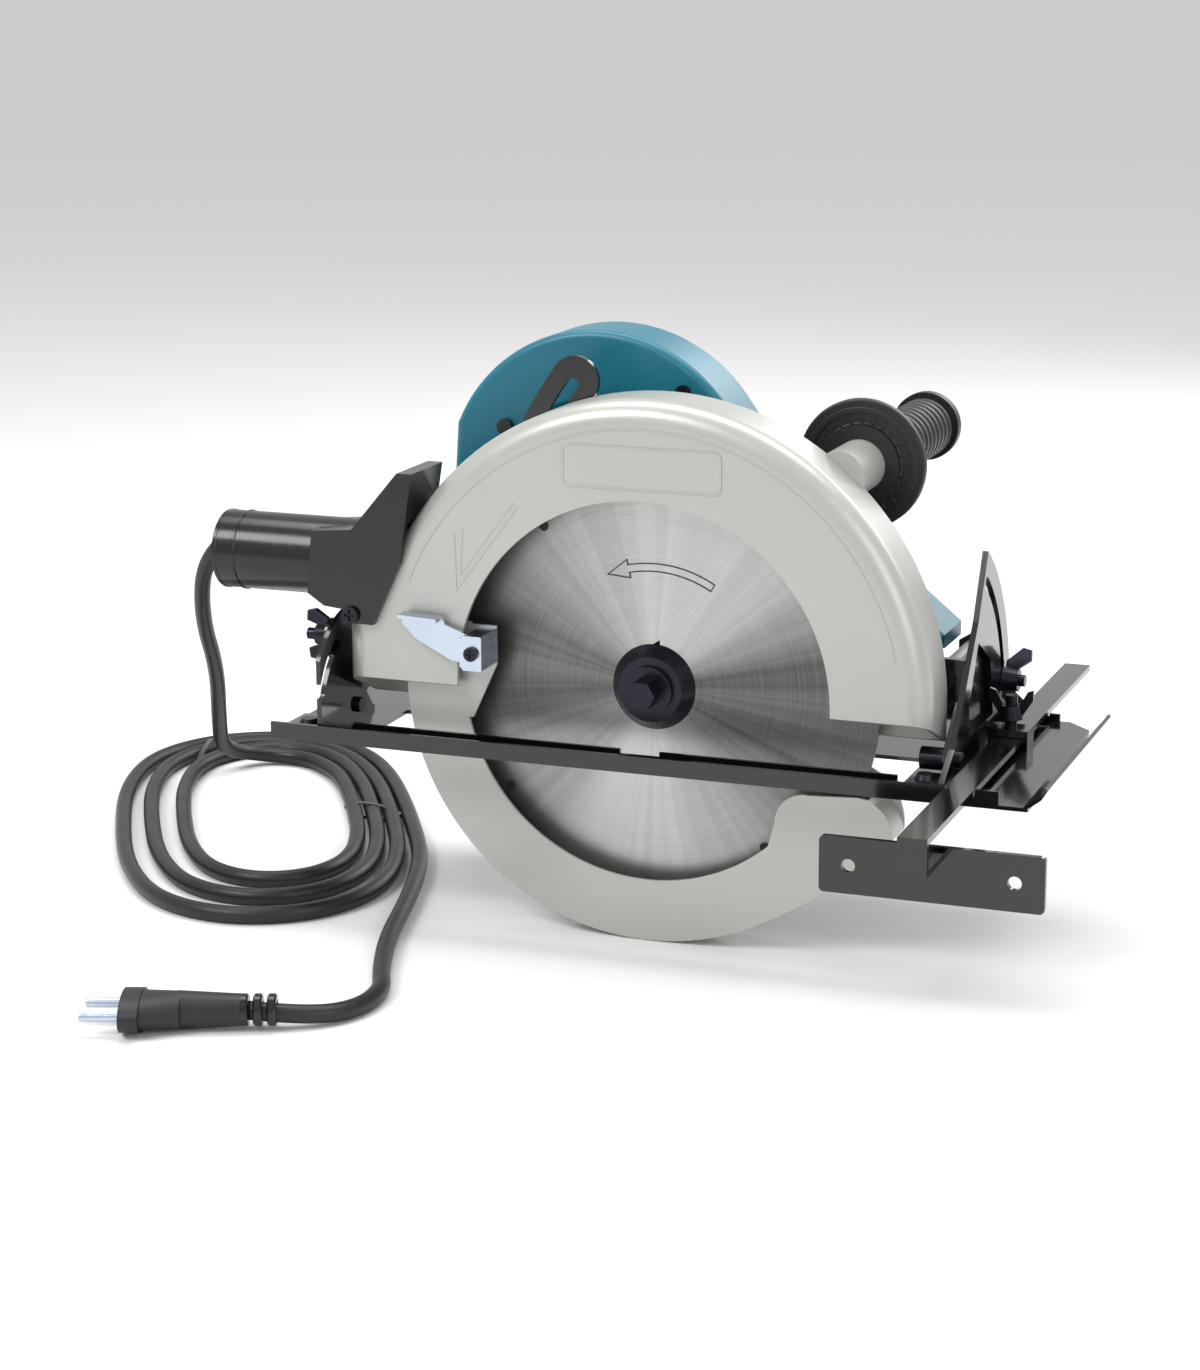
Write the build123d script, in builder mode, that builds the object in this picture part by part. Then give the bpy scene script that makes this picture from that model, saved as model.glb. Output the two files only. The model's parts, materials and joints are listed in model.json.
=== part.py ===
"""A 235 mm portable circular saw, in millimetres.

+X points forward along the cut, +Y to the motor side, +Z up. The origin lies on the underside
of the sole, in the blade's plane, straight below the spindle.
"""

from build123d import *
from math import acos, atan2, cos, degrees, hypot, pi, radians, sin, sqrt, tan
import os

os.makedirs("parts", exist_ok=True)

# ---- Driving dimensions -------------------------------------------------------------------
BLADE_R = 117.5
BLADE_BODY = 1.6
BLADE_KERF = 2.3
BLADE_TEETH = 20
BLADE_BORE_R = 15.0
CUT_DEPTH = 85.0
SPINDLE_Z = BLADE_R - CUT_DEPTH

# The upper case, seen along Y: a disc about the spindle with a flat tail behind it.
CASE_R = 145.5
CASE_OPENING_R = 97.0
CASE_FRONT_Y = -22.0
CASE_BACK_Y = 14.0
CASE_WALL = 2.5
CASE_TAIL_X = -158.5
CASE_TAIL_TOP = 62.0
CASE_LIP_Z = 30.0
CASE_BACK_LIP_Z = 14.0
CASE_RIM_ROUND = 11.0

GUARD_R = 127.9
GUARD_INNER_R = 96.5
GUARD_FRONT_Y = -14.0
GUARD_BACK_Y = 8.0
GUARD_SHEET = 1.6

# The gear pair: a big gear on the spindle and a small one cut on the armature shaft.
GEAR_MODULE = 1.2
GEAR_TEETH = 38
PINION_TEETH = 8
GEAR_BACKLASH = 0.35
MOTOR_ANGLE = 59.5
MOTOR_R = 46.0
MOTOR_END_Y = 150.0

# The hinge that sets the depth of cut runs along Y, and the one that sets the bevel along X.
DEPTH_X, DEPTH_Z = 141.0, 42.5
BEVEL_Z = 9.0
DEPTH_SWING = 34.0
BEVEL_SWING = 45.0

BASE_REAR_X, BASE_FRONT_X = -190.0, 200.0
BASE_NEAR_Y, BASE_FAR_Y = -45.0, 115.0
BASE_SHEET = 2.0
BASE_LIP = 8.5
WINDOW_REAR_X, WINDOW_FRONT_X = -145.0, 134.0
WINDOW_NEAR_Y, WINDOW_FAR_Y = -32.0, 22.0

RUNNING = 0.05          # radial clearance of a shaft in its hole
GAP = 0.4               # between two bodies that slide past each other

GRIP_X, GRIP_Z = 90.0, 141.0
NOZZLE_Y, NOZZLE_Z, NOZZLE_R = -3.0, 87.0, 20.0
HANDLE_NEAR_Y, HANDLE_FAR_Y = 48.0, 88.0
HANDLE_MID_Y = (HANDLE_NEAR_Y + HANDLE_FAR_Y) / 2
FENCE_X, FENCE_PLATE_Y = 167.0, -94.0
FENCE_BAR_W = 14.0
CORD_D = 9.0
CORD_EXIT_Z = 82.0
LOCK_X, LOCK_Z = -98.0, 150.0
FLOOR_Z = -95.5

MOTOR_GAP = GEAR_MODULE * (GEAR_TEETH + PINION_TEETH) / 2
MOTOR_X = MOTOR_GAP * cos(radians(MOTOR_ANGLE))
MOTOR_Z = SPINDLE_Z + MOTOR_GAP * sin(radians(MOTOR_ANGLE))


def across(y, x=0.0, z=0.0):
    """A plane square to Y whose sketch axes are +X and +Z, drawn about (x, z)."""
    return Plane(origin=(x, y, z), x_dir=(1, 0, 0), z_dir=(0, -1, 0))


def along(x, y=0.0, z=0.0):
    """A plane square to X whose sketch axes are +Y and +Z, drawn about (y, z)."""
    return Plane(origin=(x, y, z), x_dir=(0, 1, 0), z_dir=(1, 0, 0))


def flat(z):
    """A level plane at height z."""
    return Plane.XY.offset(z)


def polar(radius, angle, x=0.0, z=0.0):
    """The point at a radius and an angle in degrees about (x, z)."""
    return (x + radius * cos(radians(angle)), z + radius * sin(radians(angle)))


def round_spindle(radius, angle):
    return polar(radius, angle, 0.0, SPINDLE_Z)


def save(piece, name):
    piece.part.label = name
    export_step(piece.part, f"parts/{name}.step")


def ring(name, x, z, inner, outer, low_y, high_y):
    """A washer-shaped piece about an axis along Y."""
    with BuildPart() as piece:
        with BuildSketch(across(high_y, x, z)):
            Circle(outer)
            if inner:
                Circle(inner, mode=Mode.SUBTRACT)
        extrude(amount=high_y - low_y)
    if name:
        save(piece, name)
    return piece


# ---- Blade and spindle --------------------------------------------------------------------
GULLET_DEPTH = 11.0
PITCH = 360 / BLADE_TEETH

with BuildPart() as blade:
    with BuildSketch(across(BLADE_BODY / 2, 0, SPINDLE_Z)):
        Circle(BLADE_R - 1.2)
        Circle(BLADE_BORE_R, mode=Mode.SUBTRACT)
        with PolarLocations(BLADE_R - 1.0, BLADE_TEETH):
            # one gullet: a steep face in front of the tip, a round root and a long back
            with BuildLine():
                Polyline((3, 0), (-GULLET_DEPTH, 3.5), (-GULLET_DEPTH - 3, 9), (-GULLET_DEPTH + 1, 14),
                         (-3, 20), (3, 24), close=True)
            make_face(mode=Mode.SUBTRACT)
        with PolarLocations(124.5 - 10.6, 3, start_angle=-53):
            Circle(2.7, mode=Mode.SUBTRACT)
    extrude(amount=BLADE_BODY)
    with BuildSketch(across(BLADE_KERF / 2, 0, SPINDLE_Z)):
        with PolarLocations(BLADE_R - 3.4, BLADE_TEETH, start_angle=-1.0):
            Rectangle(6.4, 2.6)
    extrude(amount=BLADE_KERF)
save(blade, "blade")

with BuildPart() as inner_flange:
    add(ring(None, 0, SPINDLE_Z, 10.0, 21.0, BLADE_BODY / 2 + 0.01, 4.0).part)
    # the collar that the blade's bore sits on
    add(ring(None, 0, SPINDLE_Z, 10.0, BLADE_BORE_R - 0.02, -BLADE_BODY / 2, BLADE_BODY / 2 + 0.01).part)
save(inner_flange, "inner_flange")

with BuildPart() as outer_flange:
    with BuildSketch(across(-BLADE_BODY / 2 - 0.01, 0, SPINDLE_Z)):
        Circle(21.7)
    extrude(amount=6.7, taper=38)
    with BuildSketch(across(20, 0, SPINDLE_Z)):
        Circle(10.0)
    extrude(amount=40, mode=Mode.SUBTRACT)
save(outer_flange, "outer_flange")

with BuildPart() as arbor_bolt:
    with BuildSketch(across(-7.52, 0, SPINDLE_Z)):
        Circle(12.0)
    extrude(amount=2.5)
    with BuildSketch(across(-10.0, 0, SPINDLE_Z)):
        RegularPolygon(6.5, 6, major_radius=False)
    extrude(amount=11.5)
    with BuildSketch(across(12, 0, SPINDLE_Z)):
        Circle(4.0)
    extrude(amount=19.6)
save(arbor_bolt, "arbor_bolt")

with BuildPart() as spindle:
    with BuildSketch(across(47.5, 0, SPINDLE_Z)):
        Circle(7.5)
    extrude(amount=47.5 - 14)
    with BuildSketch(across(14, 0, SPINDLE_Z)):
        Circle(9.95)
    extrude(amount=14 + 7.5)
    with BuildSketch(across(12.5, 0, SPINDLE_Z)):
        Circle(4.05)
    extrude(amount=30, mode=Mode.SUBTRACT)
save(spindle, "spindle")


def gear(name, teeth, x, z, low_y, high_y, bore, turn, thin):
    """A spur gear with straight-flanked teeth on pitch thickness pi*m/2, less the backlash."""
    pitch_r = GEAR_MODULE * teeth / 2
    tip_r, root_r = pitch_r + GEAR_MODULE, pitch_r - 1.3 * GEAR_MODULE
    half = pi * GEAR_MODULE / 4 - thin
    with BuildPart() as piece:
        with BuildSketch(across(high_y, x, z)):
            Circle(root_r)
            with PolarLocations(0, teeth, start_angle=turn):
                Polygon((root_r - 0.6, -half * 1.5), (pitch_r, -half), (tip_r, -half * 0.4),
                        (tip_r, half * 0.4), (pitch_r, half), (root_r - 0.6, half * 1.5), align=None)
            if bore:
                Circle(bore, mode=Mode.SUBTRACT)
        extrude(amount=high_y - low_y)
    if name:
        save(piece, name)
    return piece


# a tooth of the pinion lies in a space of the big gear on the line between their centres
gear("drive_gear", GEAR_TEETH, 0, SPINDLE_Z, 24, 36, 7.5, MOTOR_ANGLE + 180 / GEAR_TEETH, GEAR_BACKLASH / 2)
pinion = gear(None, PINION_TEETH, MOTOR_X, MOTOR_Z, 23, 38, 0, MOTOR_ANGLE + 180, GEAR_BACKLASH / 2)

with BuildPart() as armature_shaft:
    add(pinion.part)
    for radius, low_y, high_y in ((3.0, 18, 23), (3.0, 38, 40), (5.0, 40, 146)):
        with BuildSketch(across(high_y, MOTOR_X, MOTOR_Z)):
            Circle(radius)
        extrude(amount=high_y - low_y)
save(armature_shaft, "armature_shaft")

with BuildPart() as armature_core:
    with BuildSketch(across(108, MOTOR_X, MOTOR_Z)):
        Circle(23.0)
        Circle(5.0, mode=Mode.SUBTRACT)
        with PolarLocations(22.0, 12):
            Rectangle(8, 2.2, mode=Mode.SUBTRACT)
    extrude(amount=42)
save(armature_core, "armature_core")
ring("commutator", MOTOR_X, MOTOR_Z, 5.0, 14.0, 116, 132)

with BuildPart() as fan:
    with BuildSketch(across(62, MOTOR_X, MOTOR_Z)):
        Circle(12)
        Circle(5.0, mode=Mode.SUBTRACT)
    extrude(amount=12)
    with BuildSketch(across(52, MOTOR_X, MOTOR_Z)):
        Circle(36)
        Circle(11, mode=Mode.SUBTRACT)
    extrude(amount=2)
    with BuildSketch(across(61, MOTOR_X, MOTOR_Z)):
        with PolarLocations(23, 14):
            Rectangle(24, 1.6)
    extrude(amount=10)
save(fan, "fan")



def bearings(name, *rings):
    """The ball bearings of one shaft, each as the closed ring it fills."""
    with BuildPart() as pair:
        for measures in rings:
            add(ring(None, *measures).part)
    save(pair, name)


bearings("spindle_bearings", (0, SPINDLE_Z, 7.5 + RUNNING, 14.0, 38.5, 46),
         (0, SPINDLE_Z, 9.95 + RUNNING, 19.0, 5.5, 13.5))
bearings("armature_bearings", (MOTOR_X, MOTOR_Z, 5.0 + RUNNING, 13.0, 40.5, 47),
         (MOTOR_X, MOTOR_Z, 5.0 + RUNNING, 11.0, 138, 146))
ring("stator", MOTOR_X, MOTOR_Z, 23.6, 42.0, 66, 110)

# each holder is a brass tube with its carbon brush inside, so the two are drawn as one block
with BuildPart() as brush_holders:
    for side in (-1, 1):
        with BuildSketch(along(MOTOR_X + side * 18, 124, MOTOR_Z)):
            Rectangle(12, 10.5)
        extrude(amount=side * 24.5)
        with BuildSketch(along(MOTOR_X + side * 14.3, 124, MOTOR_Z)):
            Rectangle(8, 6.4)
        extrude(amount=side * 4)
save(brush_holders, "brush_holders")

with BuildPart() as brush_caps:
    for side in (-1, 1):
        with BuildSketch(along(MOTOR_X + side * 42.7, 124, MOTOR_Z)):
            Circle(8.0)
        extrude(amount=side * 4.6)
        with BuildSketch(along(MOTOR_X + side * 47.3, 124, MOTOR_Z)):
            Rectangle(11, 1.8)
        extrude(amount=-side * 1.4, mode=Mode.SUBTRACT)
save(brush_caps, "brush_caps")

# ---- Upper case ---------------------------------------------------------------------------
TAIL_ANGLE = degrees(atan2(CASE_TAIL_TOP - SPINDLE_Z, CASE_TAIL_X))
TAIL_REACH = hypot(CASE_TAIL_X, CASE_TAIL_TOP - SPINDLE_Z)
TOUCH_ANGLE = TAIL_ANGLE - degrees(acos(CASE_R / TAIL_REACH))


def case_outline(inset):
    """The case's side view: a disc, with a tail behind it whose top runs on to touch the disc."""
    radius = CASE_R - inset
    with BuildLine() as outline:
        touch = round_spindle(radius, TOUCH_ANGLE)
        tail_top = (CASE_TAIL_X + inset, CASE_TAIL_TOP - inset * 0.6)
        Polyline(touch, tail_top, (CASE_TAIL_X + inset, -5), (radius, -5), (radius, SPINDLE_Z))
        ThreePointArc((radius, SPINDLE_Z), round_spindle(radius, TOUCH_ANGLE / 2), touch)
    make_face(outline.edges())




def case_block(inset, low_y, high_y, rounding):
    """The case's outline as a block, its front rim rounded."""
    with BuildPart() as block:
        with BuildSketch(across(high_y)):
            case_outline(inset)
        extrude(amount=high_y - low_y)
        fillet(block.edges().group_by(Axis.Y)[0].filter_by_position(Axis.Z, 0, 200), rounding)
    return block


case_hollow = case_block(CASE_WALL, CASE_FRONT_Y + CASE_WALL, CASE_BACK_Y - 3, CASE_RIM_ROUND - CASE_WALL)
with BuildPart() as blade_case:
    add(case_block(0, CASE_FRONT_Y, CASE_BACK_Y, CASE_RIM_ROUND).part)
    add(case_hollow.part, mode=Mode.SUBTRACT)
    with BuildSketch(across(0, 0, SPINDLE_Z)):
        Circle(CASE_OPENING_R)
    extrude(amount=40, mode=Mode.SUBTRACT)
    # the lower edge slopes down from the front face to the back wall, to clear a tilted sole
    slope = (CASE_LIP_Z - CASE_BACK_LIP_Z) / (CASE_BACK_Y - CASE_FRONT_Y)
    with BuildSketch(along(-200)):
        Polygon((CASE_FRONT_Y - 1, CASE_LIP_Z + slope), (CASE_BACK_Y + 1, CASE_BACK_LIP_Z - slope),
                (CASE_BACK_Y + 1, -20), (CASE_FRONT_Y - 1, -20), align=None)
    extrude(amount=400, mode=Mode.SUBTRACT)
    # the back wall comes down round the spindle and carries the guard's boss and the bearing
    with BuildSketch(across(CASE_BACK_Y, 0, SPINDLE_Z)):
        Circle(29)
    extrude(amount=3)
    with BuildSketch(across(CASE_BACK_Y - 3, 0, SPINDLE_Z)):
        Circle(24)
    extrude(amount=5.6)
    with BuildSketch(across(CASE_BACK_Y, 0, SPINDLE_Z)):
        Circle(19.0)
    extrude(amount=20, mode=Mode.SUBTRACT)
    # the boss that takes the side grip
    with BuildSketch(across(47, GRIP_X, GRIP_Z)):
        Circle(13)
    extrude(amount=36)
    # the dust port through the tail
    with BuildSketch(along(CASE_TAIL_X - 5, NOZZLE_Y, NOZZLE_Z)):
        Circle(15)
    extrude(amount=60, mode=Mode.SUBTRACT)
save(blade_case, "blade_case")

# ---- Lower guard --------------------------------------------------------------------------


def guard_edge(nose_lift, shrink=1.0):
    """The guard's outer edge, from behind the case round to the top of its blunt nose."""
    def at(x, z):
        return (x * shrink, SPINDLE_Z + (z - SPINDLE_Z) * shrink)

    start, low, turn = (round_spindle(GUARD_R * shrink, angle) for angle in (163, 232, 300))
    ThreePointArc(start, low, turn)
    ThreePointArc(turn, at(92.1, -61.2), at(127.2, -30.1))
    ThreePointArc(at(127.2, -30.1), at(122.5, -17.5 + nose_lift * 0.6), at(108.7, -10.7 + nose_lift))
    return start, at(108.7, -10.7 + nose_lift)


def guard_outline(nose_lift):
    """The guard's side view: the outer edge, its nose, and the inner arc back to the tail."""
    with BuildLine() as outline:
        tail_out, nose_top = guard_edge(nose_lift)
        nose_back = (84.5, -12.0 + nose_lift)
        Line(nose_top, nose_back)
        ThreePointArc(nose_back, (71.5, -16.5 + nose_lift * 0.6), (67.3, -27.0))
        Line((67.3, -27.0), round_spindle(GUARD_INNER_R, -48.5))
        tail_in = round_spindle(GUARD_INNER_R, 163)
        ThreePointArc(round_spindle(GUARD_INNER_R, -48.5), round_spindle(GUARD_INNER_R, 232), tail_in)
        Line(tail_in, tail_out)
    make_face(outline.edges())


with BuildPart() as lower_guard:
    with BuildSketch(across(GUARD_FRONT_Y + GUARD_SHEET)):
        guard_outline(0)
        with BuildLine():
            Polyline((-98, 60), (-79, 60), (-79, 40), (-85, 27), (-92, 12), (-104, 12), close=True)
        make_face()
    extrude(amount=GUARD_SHEET)
    with BuildSketch(across(GUARD_BACK_Y)):
        guard_outline(11)
        with Locations((0, SPINDLE_Z)):
            Circle(33)
        with BuildLine():
            Polyline((-10, 60), (-100, 30), (-88, -30), (20, 4), close=True)
        make_face()
    extrude(amount=GUARD_SHEET)
    # the rim band that joins the two walls
    with BuildSketch(across(GUARD_BACK_Y - GUARD_SHEET / 2)):
        guard_outline(0)
        with BuildLine():
            tail_end, nose_end = guard_edge(0, 1 - GUARD_SHEET / GUARD_R)
            Polyline(nose_end, (0, 120), tail_end)
        make_face(mode=Mode.SUBTRACT)
    extrude(amount=GUARD_BACK_Y - GUARD_FRONT_Y - GUARD_SHEET)
    with BuildSketch(across(20, 0, SPINDLE_Z)):
        Circle(24 + RUNNING)
    extrude(amount=20, mode=Mode.SUBTRACT)
    # nothing inside reaches the blade's tips
    with BuildSketch(across(GUARD_BACK_Y - GUARD_SHEET, 0, SPINDLE_Z)):
        Circle(BLADE_R + 2.5)
    extrude(amount=GUARD_BACK_Y - GUARD_FRONT_Y - 2 * GUARD_SHEET, mode=Mode.SUBTRACT)
save(lower_guard, "lower_guard")

ring("guard_retainer", 0, SPINDLE_Z, 19.2, 27.0, 4.4, 5.4)

with BuildPart() as guard_spring:
    with BuildSketch(across(10.6, 0, SPINDLE_Z)):
        Circle(28.4)
        Circle(26.8, mode=Mode.SUBTRACT)
        with Locations((-34, 0)):
            Rectangle(14, 1.6)
    extrude(amount=1.6)
save(guard_spring, "guard_spring")

# the thumb lever is a folded strip, screwed to a square block on the guard
with BuildPart() as guard_block:
    with BuildSketch(across(GUARD_FRONT_Y)):
        with Locations((-83.6, 50.0)):
            RectangleRounded(10.6, 17.6, 1.2)
    extrude(amount=21)
save(guard_block, "guard_block")

with BuildPart() as guard_lever:
    with BuildSketch(across(-25.0)):
        with BuildLine():
            Polyline((-89.2, 57.5), (-101, 61.5), (-103, 65.5), (-123.5, 66.5), (-124.5, 61), (-117, 53.5),
                     (-98, 43.8), (-89.2, 42.6), close=True)
        make_face()
    extrude(amount=2)
    with BuildSketch(across(-25.0)):
        Polygon((-103, 63.8), (-103, 65.6), (-123.5, 66.6), (-124.2, 64.8), align=None)
    extrude(amount=9)
    with BuildSketch(across(-25.0)):
        with Locations((-89.8, 50.0)):
            Rectangle(1.2, 15)
    extrude(amount=9)
save(guard_lever, "guard_lever")


def screw(x, y, z, radius, head_h, face=-1):
    """The pan head of a screw along Y at (x, z), seated at y, with a crossed slot."""
    with BuildSketch(across(y, x, z)) as head:
        Circle(radius)
    extrude(head.sketch, amount=-face * head_h)
    with BuildSketch(across(y + face * head_h, x, z)) as cross:
        Rectangle(radius * 1.3, radius * 0.28)
        Rectangle(radius * 0.28, radius * 1.3)
    extrude(cross.sketch, amount=face * head_h * 0.5, mode=Mode.SUBTRACT)


with BuildPart() as lever_screw:
    screw(-83.6, GUARD_FRONT_Y - 21, 50.0, 3.6, 1.8)
save(lever_screw, "lever_screw")


# ---- Gear case and motor ------------------------------------------------------------------
with BuildPart() as gear_housing:
    with BuildSketch(across(46)):
        with Locations((0, SPINDLE_Z)):
            Circle(28)
        with Locations((MOTOR_X, MOTOR_Z)):
            Circle(40)
    extrude(amount=46 - 14.02)
    # the arm that runs forward to the knuckle of the depth hinge
    with BuildSketch(across(44)):
        Polygon((30, 34), (30, 54), (DEPTH_X, DEPTH_Z + 6), (DEPTH_X, DEPTH_Z - 6), align=None)
    extrude(amount=16)
    with BuildSketch(across(84, DEPTH_X, DEPTH_Z)):
        Circle(6.4)
    extrude(amount=84 - 27)
    with BuildSketch(across(84, DEPTH_X, DEPTH_Z)):
        Circle(3.5 + RUNNING)
    extrude(amount=84 - 27, mode=Mode.SUBTRACT)
    # the seats of the bearings, and the chamber of the two gears
    with BuildSketch(across(47)):
        with Locations((0, SPINDLE_Z)):
            Circle(14.0)
        with Locations((MOTOR_X, MOTOR_Z)):
            Circle(13.0)
    extrude(amount=8.5, mode=Mode.SUBTRACT)
    with BuildSketch(across(38.6)):
        with Locations((0, SPINDLE_Z)):
            Circle(25.6)
        with Locations((MOTOR_X, MOTOR_Z)):
            Circle(9)
    extrude(amount=17.6, mode=Mode.SUBTRACT)
    with BuildSketch(across(22)):
        with Locations((0, SPINDLE_Z)):
            Circle(12)
    extrude(amount=20, mode=Mode.SUBTRACT)
    with BuildSketch(across(22)):
        with Locations((MOTOR_X, MOTOR_Z)):
            Circle(3.0 + RUNNING)
    extrude(amount=4.5, mode=Mode.SUBTRACT)
save(gear_housing, "gear_housing")

with BuildPart() as motor_housing:
    with BuildSketch(across(136, MOTOR_X, MOTOR_Z)):
        Circle(MOTOR_R)
    extrude(amount=136 - 46.02)
    fillet(motor_housing.edges().group_by(Axis.Y)[-1], 3)
    with BuildSketch(across(133, MOTOR_X, MOTOR_Z)):
        Circle(MOTOR_R - 3.6)
    extrude(amount=100, mode=Mode.SUBTRACT)
    with BuildSketch(across(140, MOTOR_X, MOTOR_Z)):
        Circle(30)
    extrude(amount=20, mode=Mode.SUBTRACT)
    with BuildSketch(along(-100, 124, MOTOR_Z)):
        Circle(8.0)
    extrude(amount=240, mode=Mode.SUBTRACT)
    # cooling slots round the drive end
    with BuildSketch(across(64, MOTOR_X, MOTOR_Z)):
        with PolarLocations(MOTOR_R, 9, start_angle=190, angular_range=140):
            Rectangle(16, 3)
    extrude(amount=14, mode=Mode.SUBTRACT)
save(motor_housing, "motor_housing")

with BuildPart() as rear_cover:
    with BuildSketch(across(MOTOR_END_Y, MOTOR_X, MOTOR_Z)):
        Circle(MOTOR_R - 2)
    extrude(amount=MOTOR_END_Y - 136.02)
    fillet(rear_cover.edges().group_by(Axis.Y)[-1], 5)
    with BuildSketch(across(146, MOTOR_X, MOTOR_Z)):
        Circle(11.0)
    extrude(amount=12, mode=Mode.SUBTRACT)
    with BuildSketch(across(MOTOR_END_Y, MOTOR_X, MOTOR_Z)):
        with GridLocations(0, 9, 1, 5):
            SlotOverall(38, 3.4)
        Circle(14, mode=Mode.SUBTRACT)
    extrude(amount=20, mode=Mode.SUBTRACT)
save(rear_cover, "rear_cover")

# ---- Handle in two halves, split at its mid plane -----------------------------------------


def handle_outline():
    with BuildLine() as outline:
        top = ThreePointArc((-126, 150), (-52, 201), (20, 166))
        Polyline(top @ 1, (50, 124), (112, 76), (134, 58), (134, 51), (60, 51), (-30, 40), (-92, 52),
                 (-130, 92), top @ 0)
    make_face(outline.edges())


def handle_gap():
    """The finger gap, which goes right through under the grip."""
    with BuildLine() as outline:
        over = ThreePointArc((-100, 132), (-52, 163), (-8, 142))
        Polyline(over @ 1, (-20, 108), (-48, 86), (-88, 86), (-103, 100), over @ 0)
    make_face(outline.edges(), mode=Mode.SUBTRACT)


def handle_half(name, low_y, high_y, outer_end):
    with BuildPart() as half:
        with BuildSketch(across(high_y)):
            handle_outline()
            handle_gap()
        extrude(amount=high_y - low_y)
        edge_group = half.edges().group_by(Axis.Y)[outer_end]
        fillet(edge_group, 4.0)
        with BuildSketch(across(HANDLE_FAR_Y + 10, MOTOR_X, MOTOR_Z)):
            Circle(MOTOR_R + 0.02)
        extrude(amount=60, mode=Mode.SUBTRACT)
        # the pocket of the switch and its trigger
        with BuildSketch(across(HANDLE_MID_Y + 11)):
            with BuildLine():
                Polyline((-88, 176), (-30, 186), (-34, 150), (-92, 138), close=True)
            make_face()
        extrude(amount=22, mode=Mode.SUBTRACT)
        with BuildSketch(along(-160, HANDLE_MID_Y, CORD_EXIT_Z)):
            Circle(7.5)
        extrude(amount=60, mode=Mode.SUBTRACT)
        with BuildSketch(across(HANDLE_NEAR_Y + 12, LOCK_X, LOCK_Z)):
            Circle(4.0 + RUNNING)
        extrude(amount=20, mode=Mode.SUBTRACT)
    save(half, name)


handle_half("handle_near", HANDLE_NEAR_Y, HANDLE_MID_Y - 0.01, 0)
handle_half("handle_far", HANDLE_MID_Y + 0.01, HANDLE_FAR_Y, -1)

with BuildPart() as switch_body:
    with BuildSketch(across(HANDLE_MID_Y + 10)):
        Polygon((-84, 174), (-36, 182), (-39, 166), (-86, 158), align=None)
    extrude(amount=20)
save(switch_body, "switch_body")

TRIGGER_X, TRIGGER_Z = -42.0, 157.0
with BuildPart() as trigger:
    with BuildSketch(across(HANDLE_MID_Y + 8)):
        Polygon((-38, 159.5), (-44, 160.0), (-78, 151), (-83, 145), (-74, 137), (-56, 147), (-38, 153),
                align=None)
        with Locations((TRIGGER_X, TRIGGER_Z)):
            Circle(1.5 + RUNNING, mode=Mode.SUBTRACT)
    extrude(amount=16)
save(trigger, "trigger")
ring("trigger_pin", TRIGGER_X, TRIGGER_Z, 0, 1.5, HANDLE_MID_Y - 11, HANDLE_MID_Y + 11)

ring("lock_button", LOCK_X, LOCK_Z, 0, 4.0, HANDLE_NEAR_Y - 3.5, HANDLE_NEAR_Y + 7)

with BuildPart() as handle_screws:
    for x, z in ((-118, 118), (-84, 62), (-2, 172), (64, 112), (112, 64), (70, 58)):
        screw(x, HANDLE_NEAR_Y, z, 4.0, 1.6)
save(handle_screws, "handle_screws")

with BuildPart() as case_screws:
    for x, z in ((44, 76), (-12, 84), (30, 88), (-20, 62)):
        screw(x, CASE_BACK_Y - 3, z, 5.0, 2.0)
    # the one that holds the dust nozzle's ear
    screw(-153.0, CASE_FRONT_Y - 3.5, 62.5, 4.4, 2.2)
save(case_screws, "case_screws")

# ---- Side grip ----------------------------------------------------------------------------
with BuildPart() as side_grip:
    for radius, low_y, high_y in ((20, 47.02, 50), (32.5, 50, 55), (16, 55, 60), (14.5, 60, 172), (18, 172, 178)):
        with BuildSketch(across(high_y, GRIP_X, GRIP_Z)):
            Circle(radius)
        extrude(amount=high_y - low_y)
    fillet(side_grip.edges().filter_by(GeomType.CIRCLE).filter_by_position(Axis.Y, 49.5, 56), 1.2)
    with BuildSketch(across(100, GRIP_X, GRIP_Z)):
        Circle(5.0)
    extrude(amount=60, mode=Mode.SUBTRACT)
save(side_grip, "side_grip")

with BuildPart() as grip_stud:
    with BuildSketch(across(100, GRIP_X, GRIP_Z)):
        Circle(5.0)
    extrude(amount=52.98)
save(grip_stud, "grip_stud")

# ---- Dust nozzle and its mounting hood ----------------------------------------------------
with BuildPart() as dust_nozzle:
    with BuildSketch(along(CASE_TAIL_X - 73.5, NOZZLE_Y, NOZZLE_Z)):
        Circle(NOZZLE_R)
    extrude(amount=84)
    # the hood lies against the case's sloping back edge
    with BuildSketch(across(CASE_BACK_Y - 1)):
        Polygon((-118.5, 136), (-126.5, 136), (-152, 106), (-174, 104), (-177, 72), (-168, 66), (-158, 65),
                (-157, 58), (-141, 58), (-126, 90), align=None)
    extrude(amount=CASE_BACK_Y - 1 - CASE_FRONT_Y + 3.5)
    with BuildSketch(across(CASE_BACK_Y)):
        case_outline(-0.02)
    extrude(amount=CASE_BACK_Y - CASE_FRONT_Y + 0.02, mode=Mode.SUBTRACT)
    with BuildSketch(along(CASE_TAIL_X - 75, NOZZLE_Y, NOZZLE_Z)):
        Circle(NOZZLE_R - 2.5)
    extrude(amount=62, mode=Mode.SUBTRACT)
    with BuildSketch(along(CASE_TAIL_X - 75, NOZZLE_Y, NOZZLE_Z)):
        Circle(14.5)
    extrude(amount=90, mode=Mode.SUBTRACT)
save(dust_nozzle, "dust_nozzle")


BAR_LOW, BAR_HIGH = 5.0, 8.0

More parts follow.
